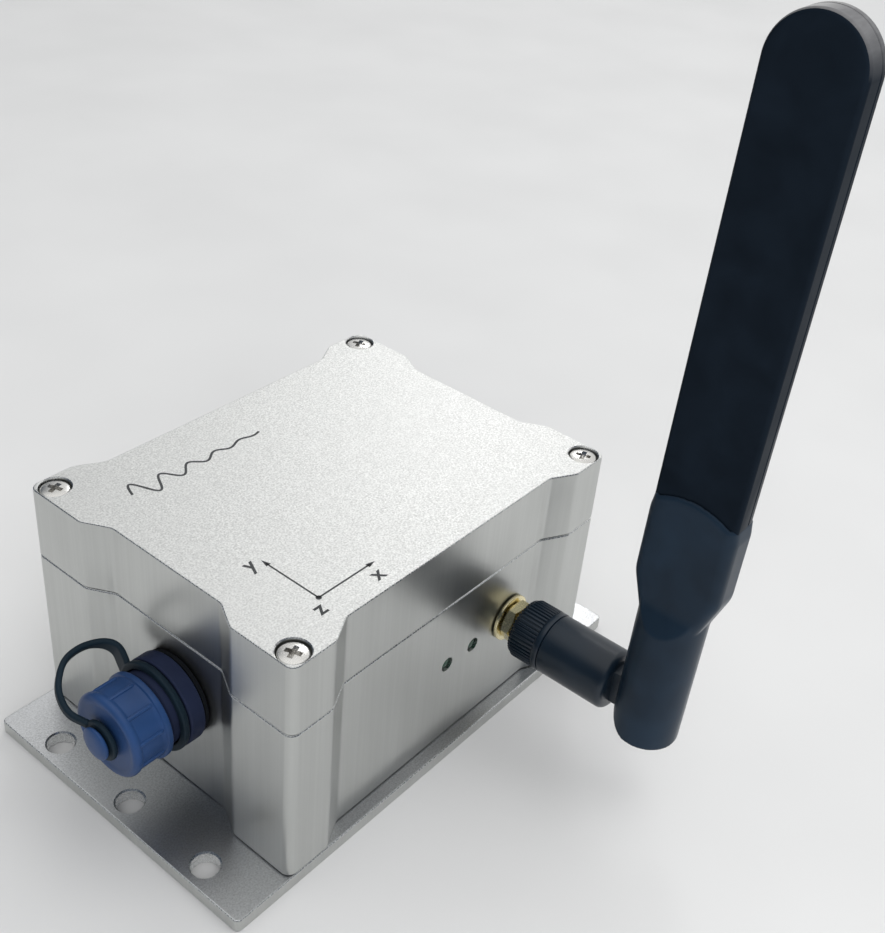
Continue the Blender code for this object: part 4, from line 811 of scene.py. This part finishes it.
# %% Printed axes
INK_THICKNESS = 0.02 * MM
INK_TOP = LID_TOP + INK_THICKNESS
AXES_CENTRE = Vector((-29.3 * MM, -25.2 * MM))
AXIS_LENGTH = 14.2 * MM
LINE_WIDTH = 0.35 * MM
DOT_RADIUS = 0.55 * MM
HEAD_LENGTH = 1.9 * MM
HEAD_HALF = 0.55 * MM


def stroke(start, end):
    side = (end - start).normalized().orthogonal() * LINE_WIDTH / 2
    return [start - side, end - side, end + side, start + side]


def arrowhead(tip, along):
    back = tip - along * HEAD_LENGTH
    side = along.orthogonal() * HEAD_HALF
    return [tip, back + side, back - side]


axes = [arc(AXES_CENTRE, DOT_RADIUS, 0, 345, 24)]
for along in (Vector((1, 0)), Vector((0, 1))):
    tip = AXES_CENTRE + along * AXIS_LENGTH
    axes += [stroke(AXES_CENTRE, tip - along * 1.2 * MM), arrowhead(tip, along)]
prints = [slab(points, LID_TOP, INK_TOP) for points in axes]
piece("axis_marks", joined(*prints), [PRINT_INK], "housing")

# %% [markdown]
# Each axis has its letter beside it. The letters are text curves, made a little heavier than the font
# gives them and as thick as the ink, and turned into mesh at once.

# %% Letters at the axes
LETTER_HEIGHT = 4.6 * MM
LETTER_WEIGHT = 0.07 * MM
LETTER_PLACES = {"x": (-17.5, -28.0), "y": (-31.8, -10.6), "z": (-31.3, -27.4)}

for text, (x, y) in LETTER_PLACES.items():
    curve = bpy.data.curves.new(text, "FONT")
    curve.body = text
    curve.size = LETTER_HEIGHT
    curve.align_x = "CENTER"
    curve.align_y = "CENTER"
    curve.extrude = INK_THICKNESS / 2
    curve.offset = LETTER_WEIGHT
    curve.resolution_u = 6
    written = add_object(text, curve)
    letter = add_object(text, as_mesh(written))
    bpy.data.objects.remove(written)
    moved(letter, Matrix.Translation((x * MM, y * MM, LID_TOP + INK_THICKNESS / 2)))
    piece(f"mark_{text}", letter, [PRINT_INK], "housing")

# %% [markdown]
# A short swinging line, which dies away like a struck bar, stands for what the sensor listens to.
# It is skinned along a formula, with its width square to its own direction at every point.

# %% Swinging line
WAVE_START = Vector((-33 * MM, 19.75 * MM))
WAVE_LENGTH = 32 * MM
WAVE_HEIGHT = 3.4 * MM
WAVE_TURNS = 5
WAVE_DECAY = 2.4
WAVE_POINTS = 180
WAVE_WEIGHT = 0.5 * MM


def wave_point(share):
    swing = math.sin(math.tau * WAVE_TURNS * share) * math.exp(-WAVE_DECAY * share)
    return WAVE_START + Vector((WAVE_LENGTH * share, WAVE_HEIGHT * swing))


wave = [wave_point(number / WAVE_POINTS) for number in range(WAVE_POINTS + 1)]
wave_rings = []
for index, point in enumerate(wave):
    along = (wave[min(index + 1, WAVE_POINTS)] - wave[max(index - 1, 0)]).normalized()
    low = point - along.orthogonal() * WAVE_WEIGHT / 2
    high = point + along.orthogonal() * WAVE_WEIGHT / 2
    wave_rings.append([(*low, LID_TOP), (*high, LID_TOP), (*high, INK_TOP), (*low, INK_TOP)])
piece("wave_mark", shape(lofted(wave_rings)), [PRINT_INK], "housing")

# %% [markdown]
# ## Antenna socket
#
# The socket is a gold-plated bulkhead jack: a washer and a hexagon nut hold it to the wall, and its
# thread runs on into the antenna's collar. The nut's corners are trimmed by a cone, which gives
# each flat its curved edge.

# %% Antenna socket
SOCKET = facing(SOCKET_PLACE, FRONT)
NUT_TRIM = 0.4 * MM


def hexagon(across_flats):
    return arc((0, 0), across_flats / math.sqrt(3), 0, 300, 6)


def hexagon_nut(across_flats, bore, low, high):
    corner = across_flats / math.sqrt(3)
    rim = corner + 0.02 * MM
    cone = turned([(0, low), (corner - 2 * NUT_TRIM, low), (rim, low + NUT_TRIM), (rim, high - NUT_TRIM),
                   (corner - 2 * NUT_TRIM, high), (0, high)])
    nut = carved(slab(hexagon(across_flats), low, high), [shape(cone)], "INTERSECT")
    return carved(nut, [rod(bore, low - OVERRUN, high + OVERRUN, 64)])


def rounded_ring(inner, outer, low, high, edge):
    """A flat ring with a rounded rim, with its sizes in millimetres."""
    profile = [(inner, low), (outer - edge, low)]
    profile += arc((outer - edge, low + edge), edge, -90, 0, 5)[1:]
    profile += arc((outer - edge, high - edge), edge, 0, 90, 5)
    return shape(turned(in_mm(profile + [(inner, high)])))


jack_profile = [
    (2.3, -11.3), (3.1, -11.3), (3.1, -5.3), (4.6, -5.3), (4.6, -3.5), (3.1, -3.5), (3.1, -1), (2.92, -0.8),
    (2.92, 9.7), (2.7, 10), (2.3, 10)]
piece("socket_washer_ring", moved(rounded_ring(3.4, 5.2, 0.3, 1.0, 0.18), SOCKET), [GOLD], "housing",
      ["socket_washer"])
piece("socket_hex_nut", moved(hexagon_nut(8 * MM, SOCKET_HOLE, 1.3 * MM, 3.6 * MM), SOCKET), [GOLD],
      "housing", ["socket_nut"])
jack = shape(turned(in_mm(jack_profile)))
joined(jack, thread(2.95 * MM, -0.6 * MM, 10.2 * MM, 14.5, 0.15 * MM, GOLD))
piece("socket_jack", moved(jack, SOCKET), [GOLD], "housing", ["socket_shell"])

# %% [markdown]
# ## Knurled collar
#
# The antenna is screwed on by hand, by a black collar with fine ribs along it and a smooth band in
# front. One rib is a low rounded bar, and the ring tree turns 48 of them round the collar.

# %% Knurled collar
COLLAR_RADIUS = 6.5 * MM
RIB_DEPTH = 0.35 * MM
RIBS = 48
RIB_FOOT = 0.15 * MM
core_radius = COLLAR_RADIUS - RIB_DEPTH
rib_half_width = math.tau * COLLAR_RADIUS / RIBS * 0.31

core = in_mm([(4.0, 4.5)])
core += in_mm([(-0.75, 4.5), (-0.05, 5.2), (0, 5.5), (0, 10.4)], core_radius)
core += in_mm([(-0.08, 10.62), (0, 10.75), (0, 11.7), (-0.1, 11.92), (-0.3, 12)], COLLAR_RADIUS)
core += in_mm([(4.0, 12)])
collar = carved(shape(turned(core)), [slab(hexagon(9.2 * MM), 3 * MM, 13 * MM)])


def ring_of_ribs(count, coat, radius, depth, half_width, stations):
    """Low bars along Z, with their feet inside the body. Stations are (height in mm, share of depth)."""
    rings = []
    for height, share in stations:
        top = radius + depth * share
        foot = radius - RIB_FOOT
        side = [(foot, half_width), (top - depth * 0.35 * share, half_width * 0.8), (top, half_width * 0.35)]
        section = [(foot, -half_width)] + side + [(x, -y) for x, y in side[:0:-1]]
        rings.append([(x, y, height * MM) for x, y in section])
    return grown(shape(lofted(rings)), ABOUT_AXIS, Count=count, Material=coat)


ribs = ring_of_ribs(RIBS, ELBOW_BLACK, core_radius, RIB_DEPTH, rib_half_width, [
    (4.62, -1.9), (5.25, 0.55), (5.5, 1.0), (10.3, 1.0), (10.55, 0.6)])
piece("collar_grip", moved(joined(collar, ribs), SOCKET), [ELBOW_BLACK], "collar", ["knurled_collar"])

# %% [markdown]
# ## Elbow
#
# Behind the collar a short barrel runs out to the hinge. Its end is softly chamfered and carries a
# flat tongue, whose round eye sits in the slot of the antenna's knuckle.

# %% Elbow
HINGE_REACH = 35.4 * MM
HINGE_PLACE = SOCKET_PLACE + Vector(FRONT) * HINGE_REACH
PIN_BORE = 1.6 * MM
BARREL_RADIUS = 6.4 * MM
BARREL_START = 12.12 * MM
BARREL_END = 27.5 * MM
START_ROUND = 0.15 * MM
END_ROUND = 1.3 * MM
TONGUE_HALF = 2.2 * MM
TONGUE_EDGE = 0.45 * MM
EYE_RADIUS = 4.9 * MM

barrel_profile = [(2.8 * MM, BARREL_START), (BARREL_RADIUS - START_ROUND, BARREL_START)]
barrel_profile += arc((BARREL_RADIUS - START_ROUND, BARREL_START + START_ROUND), START_ROUND, -90, 0, 5)[1:]
barrel_profile += arc((BARREL_RADIUS - END_ROUND, BARREL_END - END_ROUND), END_ROUND, 0, 62, 8)
barrel_profile += [(BARREL_RADIUS - END_ROUND, BARREL_END), (2 * MM, BARREL_END)]
barrel_profile += in_mm([(2, 19), (2.8, 19)])
barrel = shape(turned(barrel_profile, 128), SOCKET)
root = HINGE_REACH - BARREL_END + 1 * MM
tongue_side = arc((0, 0), EYE_RADIUS, 125, 235, 25) + [(root, -4 * MM), (root, 4 * MM)]
rounding = [(TONGUE_HALF, TONGUE_EDGE), (TONGUE_HALF - 0.13 * MM, 0.13 * MM), (TONGUE_HALF - TONGUE_EDGE, 0)]
tongue = stacked(tongue_side, [(-level, amount) for level, amount in rounding] + rounding[::-1],
                 Matrix.Translation(HINGE_PLACE) @ INTO_YZ)
carved(barrel, [tongue], "UNION")
carved(barrel, [rod(PIN_BORE, -5 * MM, 5 * MM, place=Matrix.Translation(HINGE_PLACE) @ ALONG_X)])
piece("elbow_body", barrel, [ELBOW_BLACK], "elbow", ["elbow_barrel"])

# %% [markdown]
# ## Antenna knuckle
#
# The knuckle is one moulding: a round stem with a rounded heel, slanted shoulders, and a flat pad
# that grips the blade. The pad comes first: its sides swell outwards, its top is a low arch, and
# rings at growing depths round its edges.

# %% Pad of the knuckle
PAD_HALF = 3.9 * MM
PAD_WIDE = 8.75 * MM
SIDE_ROUND = 2.1 * MM
ARCH_ROUND = 1.4 * MM
ARCH_HALF = 8.35 * MM
ARCH_FOOT = 47.9 * MM
ARCH_RISE = 2.4 * MM

pad_side = [(4.7 * MM, 18.5 * MM, 0), (6.7 * MM, 24.5 * MM, 6 * MM), (PAD_WIDE, 30.6 * MM, 6 * MM),
            (PAD_WIDE, 45 * MM, 2 * MM), (ARCH_HALF, ARCH_FOOT, 0)]
crown = []
for number in range(1, 16):
    across = 1 - number / 8
    crown.append((ARCH_HALF * across, ARCH_FOOT + ARCH_RISE * (1 - across ** 2), 0))
pad_outline = rounded_polygon(pad_side + crown + [(-y, z, radius) for y, z, radius in reversed(pad_side)])


def edge_set_in(depth, radius):
    """How far a rounded edge has drawn back at a depth below the face."""
    return radius - math.sqrt(max(0.0, radius ** 2 - (radius - depth) ** 2)) if depth < radius else 0.0


def pad_ring(depth, side_radius, side):
    """The pad's outline at a depth below one face, with its sides rounded more than its arch."""
    arch_in = edge_set_in(depth, ARCH_ROUND)
    narrowing = 1 - (edge_set_in(depth, side_radius) - arch_in) / PAD_WIDE
    return [(y * narrowing, z, side * (PAD_HALF - depth)) for y, z in set_in(pad_outline, arch_in)]


pad_rings = [pad_ring(depth * MM, SIDE_ROUND, -1) for depth in (0, 0.1, 0.3, 0.6, 1.0, 1.5, 2.1)]
pad_rings += [pad_ring(depth * MM, ARCH_ROUND, 1) for depth in (1.4, 0.8, 0.4, 0.12, 0)]
pad = shape(lofted(pad_rings), INTO_YZ)

# %% [markdown]
# The stem is a cylinder. One cutter rounds its heel, two more leave a hollow ledge under the pad,
# and the last three open the slot for the tongue, the pin's hole and the pocket for the blade.
# Remeshing into tiny even faces and smoothing them melts the joints into soft blends.

# %% Antenna knuckle
KNUCKLE_RADIUS = 6.7 * MM
KNUCKLE_TOP = 27 * MM
LEDGE_TOP = 28 * MM
LEDGE_FOOT = 20.7 * MM
ANTENNA = Matrix.Translation(HINGE_PLACE) @ Matrix.Rotation(math.radians(1.2), 4, "X")
beyond = KNUCKLE_RADIUS + OVERRUN

heel = arc((0, 0), KNUCKLE_RADIUS + 0.05 * MM, -90, 0, 21) + [(beyond, 0), (beyond, -beyond), (0, -beyond)]
cutters = [slab(heel, -beyond, beyond, INTO_YZ)]
ledge = [(3.85 * MM, LEDGE_TOP)] + in_mm(arc((8.9, 27.02), 5.05, 180, 212.5, 7))
ledge += [(7 * MM, LEDGE_FOOT), (beyond, LEDGE_FOOT), (beyond, LEDGE_TOP)]
for side in (1, -1):
    cutters.append(slab([(side * x, z) for x, z in ledge], -beyond, beyond, INTO_XZ))
knuckle = carved(rod(KNUCKLE_RADIUS, -KNUCKLE_RADIUS, KNUCKLE_TOP, 128), cutters)
carved(knuckle, [pad], "UNION")
pocket = in_mm([(-7.3, 35.7), (7.3, 35.7), (7.3, 52), (-7.3, 52)])
slot = arc((0, 0), 5.3 * MM, 60, 210, 21)
slot += [(-4.3 * MM, -beyond), (beyond, -beyond), (beyond, 4.3 * MM)]
carved(knuckle, [
    slab(pocket, -3.1 * MM, 3.1 * MM, INTO_YZ),
    slab(slot, -2.5 * MM, 2.5 * MM, INTO_YZ),
    rod(PIN_BORE, -5.5 * MM, beyond, place=ALONG_X)])


def melted(made, voxel, passes):
    """Remesh a shape into even faces and smooth its edges."""
    remesh = made.modifiers.new("remesh", "REMESH")
    remesh.mode = "VOXEL"
    remesh.voxel_size = voxel
    smooth = made.modifiers.new("smooth", "SMOOTH")
    smooth.factor = 0.5
    smooth.iterations = passes
    return settled(made)


piece("antenna_knuckle_moulding", moved(melted(knuckle, 0.25 * MM, 5), ANTENNA), [ANTENNA_BLACK], "antenna",
      ["antenna_knuckle"], sharp=180)

# %% [markdown]
# ## Antenna blade
#
# The blade is a flat paddle with a round tip, made of two shells that meet at a parting line near
# its back. Each shell is skinned from its middle outwards over rounded edges, and then turns in at
# the parting line with a hair-fine bevel, so the line shows as it does on the real one.

# %% Antenna blade
BLADE_WIDE = 8.35 * MM
BLADE_TIP = 133.1 * MM
BLADE_HALF = 3 * MM
BLADE_PARTING = 1 * MM
BLADE_WALL = 1 * MM
BLADE_EDGE = 0.9 * MM
PARTING_BEVEL = 0.12 * MM
PARTING_GAP = 0.1 * MM


def blade_outline(amount):
    """Front view of the blade, set in by an amount: a tang, a paddle and a round tip."""
    half = BLADE_WIDE - amount
    tang = 7.6 * MM - amount
    foot = 36 * MM + amount
    shoulder = 47.5 * MM + amount
    side = [(tang, foot), (tang, shoulder), (half, shoulder)]
    return side + arc((0, BLADE_TIP - BLADE_WIDE), half, 0, 180, 61) + [(-y, z) for y, z in reversed(side)]


def blade_shell(face, parting, side):
    """A hollow shell from its broad face to the parting line. Side is the direction that its face looks."""
    levels = [(face, BLADE_EDGE + 1.2 * MM)]
    for number in range(7):
        turn = math.radians(15 * number)
        levels.append((face - side * BLADE_EDGE * (1 - math.cos(turn)), BLADE_EDGE * (1 - math.sin(turn))))
    levels += [(parting + side * PARTING_BEVEL, 0), (parting, PARTING_BEVEL), (parting, BLADE_WALL),
               (face - side * BLADE_WALL, BLADE_WALL)]
    rings = [[(*point, height) for point in blade_outline(amount)] for height, amount in levels]
    return shape(lofted(rings), ANTENNA @ INTO_YZ)


def rim_coat(face):
    return 1 if abs(face.normal.x) < 0.75 else 0


for which, side in (("front", -1), ("back", 1)):
    shell = blade_shell(side * BLADE_HALF, BLADE_PARTING + side * PARTING_GAP, side)
    piece(f"blade_{which}", shell, [BLADE_BLACK, BLADE_RIM], "antenna", [f"blade_{which}_shell"],
          rim_coat)

# %% [markdown]
# ## Round connector
#
# The connector is a dark moulding with a flange against the wall, a threaded neck for the cap, and a
# threaded tail inside the box. The two threads are wound by the thread tree.

# %% Round connector
PORT = facing(PORT_PLACE, LEFT)
THREAD_DEPTH = 0.28 * MM

port_profile = [(5.6, -12.2), (6.45, -12.2), (6.45, 1.4), (8.9, 1.4)]
port_profile += arc((9.0, 1.7), 0.3, -90, 0, 5)[1:] + arc((8.9, 4.3), 0.4, 0, 90, 7)
port_profile += [(7.6, 4.7), (7.6, 7.4), (7.25, 7.7), (7.25, 13.8), (6.9, 14.2), (5.6, 14.2)]
neck_thread = thread(7.3 * MM, 8 * MM, 6 * MM, 4.0, THREAD_DEPTH, CONNECTOR_BLACK)
tail_thread = thread(6.47 * MM, -11.8 * MM, 11 * MM, 8.0, THREAD_DEPTH, CONNECTOR_BLACK)
port_body = joined(shape(turned(in_mm(port_profile), 128)), neck_thread, tail_thread)
piece("connector_body", moved(port_body, PORT), [CONNECTOR_BLACK], "housing", ["port_body"])

# %% [markdown]
# ## Screw cap
#
# The blue cap has a thick soft rim in front, ten narrow ridges between shallow panels for the
# fingers, and a narrow rim behind. A mushroom knob on its face holds the strap's eyelet. The body
# is turned, and the ring tree adds the ridges.

# %% Screw cap
PANEL_RADIUS = 8.2 * MM
RIDGES = 10

rear_rim = [(7.95, 15.3), (7.95, 8.4), (8.6, 8.4)]
rear_rim += arc((8.55, 8.65), 0.25, -90, 0, 5)[1:] + arc((8.55, 9.35), 0.25, 0, 80, 5) + [(8.4, 9.7)]
panel = [(0.05, 10.2), (0, 10.6), (0, 14.6)]
front_rim = [(8.36, 14.95), (8.5, 15.15)] + arc((7.55, 15.6), 1.0, -10, 90, 10)
knob = [(6.9, 16.5), (6.3, 16.3), (2.1, 16.3), (1.9, 16.5), (1.9, 17.9), (2.9, 18.2)]
knob += arc((2.85, 18.65), 0.45, -60, 60, 6) + [(2.2, 19.3), (1.2, 19.4), (0, 19.4), (0, 15.5), (7.8, 15.5)]
cap_body = shape(turned(in_mm(rear_rim) + in_mm(panel, PANEL_RADIUS) + in_mm(front_rim + knob), 160))
ridges = ring_of_ribs(RIDGES, CAP_BLUE, PANEL_RADIUS, 0.36 * MM, 0.42 * MM, [
    (9.6, 0.2), (10.2, 0.9), (10.5, 1.0), (14.4, 1.0), (15.2, 0.7)])
piece("cap_shell", moved(joined(cap_body, ridges), PORT), [CAP_BLUE], "screw_cap", ["port_cap"])

# %% [markdown]
# ## Tether
#
# A rubber strap keeps the cap from getting lost. One end is a ring that is loose on the
# connector's neck, and the other an eyelet under the cap's knob. The strap follows a smooth
# curve between them, and remeshing melts the three into one moulding.

# %% Tether
TETHER_TURN = math.radians(65)
STRAP_WIDTH = 1.9 * MM
STRAP_THICKNESS = 1.2 * MM
ROOT_WIDENING = 2.6 * MM
TAPER_END = 10 * MM
TAPER_LENGTH = 7 * MM
STRAP_KNOTS = (
    (8.5, 5.65), (10.4, 5.0), (13.0, 4.5), (15.0, 5.5), (16.4, 7.9), (16.8, 10.8), (16.1, 13.9), (13.7, 16.8),
    (10.8, 18.6), (7.2, 19.1), (3.8, 17.6))


def smooth_path(points, steps):
    """Catmull-Rom curve through the points."""
    padded = [2 * points[0] - points[1]] + points + [2 * points[-1] - points[-2]]
    path = []
    for index in range(1, len(padded) - 2):
        a, b, c, d = padded[index - 1:index + 3]
        for number in range(steps):
            t = number / steps
            path.append((2 * b + (c - a) * t + (2 * a - 5 * b + 4 * c - d) * t ** 2
                         + (3 * b - a - 3 * c + d) * t ** 3) / 2)
    return path + [points[-1]]


def strap(path, widths, thickness, place):
    """Skin a rounded flat section along a path in X and Z, with its own width at each point."""
    rings = []
    for index, point in enumerate(path):
        along = (path[min(index + 1, len(path) - 1)] - path[max(index - 1, 0)]).normalized()
        normal = Vector((-along.y, along.x))
        ring = []
        for across, thick in rectangle(widths[index], thickness, thickness * 0.42, 30):
            flat = point + normal * thick
            ring.append((flat.x, across, flat.y))
        rings.append(ring)
    return shape(lofted(rings), place)


path = smooth_path([Vector(knot) * MM for knot in STRAP_KNOTS], 8)
run = 0.0
widths = []
for point, before in zip(path, [path[0]] + path):
    run += (point - before).length
    widening = max(0.0, min(1.0, (TAPER_END - run) / TAPER_LENGTH))
    widths.append(STRAP_WIDTH + ROOT_WIDENING * widening)
print("tether strap, along its middle, in mm:", round(run / MM, 1))
tether = rounded_ring(7.9, 9.3, 5.0, 6.3, 0.35)
eyelet = rounded_ring(2.2, 4.1, 16.9, 17.9, 0.35)
band = strap(path, widths, STRAP_THICKNESS, Matrix.Rotation(TETHER_TURN, 4, "Z"))
carved(tether, [eyelet, band], "UNION")
piece("cap_strap", moved(melted(tether, 0.14 * MM, 4), PORT), [TETHER_RUBBER], "cap_carriage", ["cap_tether"],
      sharp=180)

# %% [markdown]
# ## Pieces that keep their CAD shape
#
# The boards, battery, seals and pins inside the box are right as they are, so they stay and only get
# their finishes: the code changes only their material slots. A CAD node's material slots are all
# that may change.

# %% Finishes for the CAD nodes
NODE_FINISHES = (
    (GOLD, ("coupling_nut", "plug_body", "plug_pin", "socket_contact", "contact_pin")),
    (DARK_STEEL, ("hinge_pin",)),
    (BRASS, ("board_standoff",)),
    (NICKEL, ("board_screw", "radio_module")),
    (WHITE_PLASTIC, ("plug_insulator", "socket_insulator")),
    (SEAL_RUBBER, ("lid_gasket", "port_seal", "cap_seal")),
    (CONNECTOR_BLACK, ("port_nut", "port_insert")),
    (BOARD_GREEN, ("main_board", "radiator_board")),
    (DARK_PLASTIC, ("accelerometer", "battery_holder")),
    (CELL_WRAP, ("battery_cell",)),
)
for name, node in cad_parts.items():
    for coat, starts in NODE_FINISHES:
        if name.startswith(starts):
            for material_slot in node.material_slots:
                material_slot.material = coat
            if not node.material_slots:
                node.data.materials.append(coat)

# %% [markdown]
# ## Floor and sky
#
# The object stands on a plain pale floor in soft studio light. Metal is mostly the picture of
# what surrounds it, so the walls mirror the floor and the lid mirrors the sky. That sky is dark
# with two soft windows in it, one to the right and one above, and white stays below clipping.

# %% Floor and sky
floor_finish = Finish("studio_floor", roughness=0.9, specular=0.1)
floor_cloud = floor_finish.noise(60 * MM)
floor_tone = floor_finish.mix(floor_finish.span(floor_cloud, 0, 1), (0.65, 0.65, 0.65), (0.68, 0.68, 0.68))
bm = bmesh.new()
bmesh.ops.create_grid(bm, x_segments=1, y_segments=1, size=4.0)
floor = shape(bm, Matrix.Translation((0, 0, -0.05 * MM)))
floor.name = "floor"
floor.data.materials.append(floor_finish.use(Base_Color=floor_tone))

world = bpy.data.worlds.new("studio")
bpy.context.scene.world = world
world.use_nodes = True
sky = world.node_tree
direction = add_node(sky, "ShaderNodeTexCoord").outputs["Generated"]


def glow(towards, start, end, strength=1.0):
    """How far a direction lies inside a soft round light, from 0 at its rim to its strength in the middle."""
    closeness = sky.nodes.new("ShaderNodeVectorMath")
    closeness.operation = "DOT_PRODUCT"
    set_inputs(closeness, {0: direction, 1: Vector(towards).normalized()})
    ramp = add_node(sky, "ShaderNodeMapRange", Value=closeness.outputs["Value"], From_Min=start, From_Max=end,
                    To_Max=strength)
    ramp.interpolation_type = "SMOOTHSTEP"
    return ramp.outputs["Result"]


window = glow((0.85, 0.12, 0.5), 0.5, 0.84, 0.8)
skylight = glow((0.0, 0.1, 1.0), 0.6, 0.92)
sky_tone = mixed(sky, maths(sky, "MAXIMUM", window, skylight), (0.06, 0.075, 0.10), (1.03, 1.03, 1.015))
set_inputs(sky.nodes["Background"], {"Color": sky_tone})

# %% [markdown]
# ## Lamps of the studio
#
# Two large lamps, which mirrors don't see, light the plastics and the floor. A small ceiling lamp
# leaves a soft highlight on whatever looks up.

# %% Lamps of the studio
def soft_lamp(name, place, target, size, power, mirrored=False):
    """A square lamp that faces a target."""
    data = bpy.data.lights.new(name, "AREA")
    data.size = size
    data.energy = power
    lamp = add_object(name, data)
    lamp.location = place
    lamp.rotation_euler = (Vector(target) - Vector(place)).to_track_quat("-Z", "Y").to_euler()
    lamp.visible_glossy = mirrored


soft_lamp("key_lamp", (0.5, -0.45, 1.1), (0.05, -0.05, 0), 1.2, 8.0)
soft_lamp("fill_lamp", (-0.5, -0.62, 0.5), (0, -0.02, 0.03), 0.8, 5.0)
soft_lamp("ceiling_lamp", (0.758, 0.484, 0.637), (0.02, -0.05, 0.024), 0.16, 0.95, mirrored=True)
bpy.context.scene.view_settings.view_transform = "Standard"
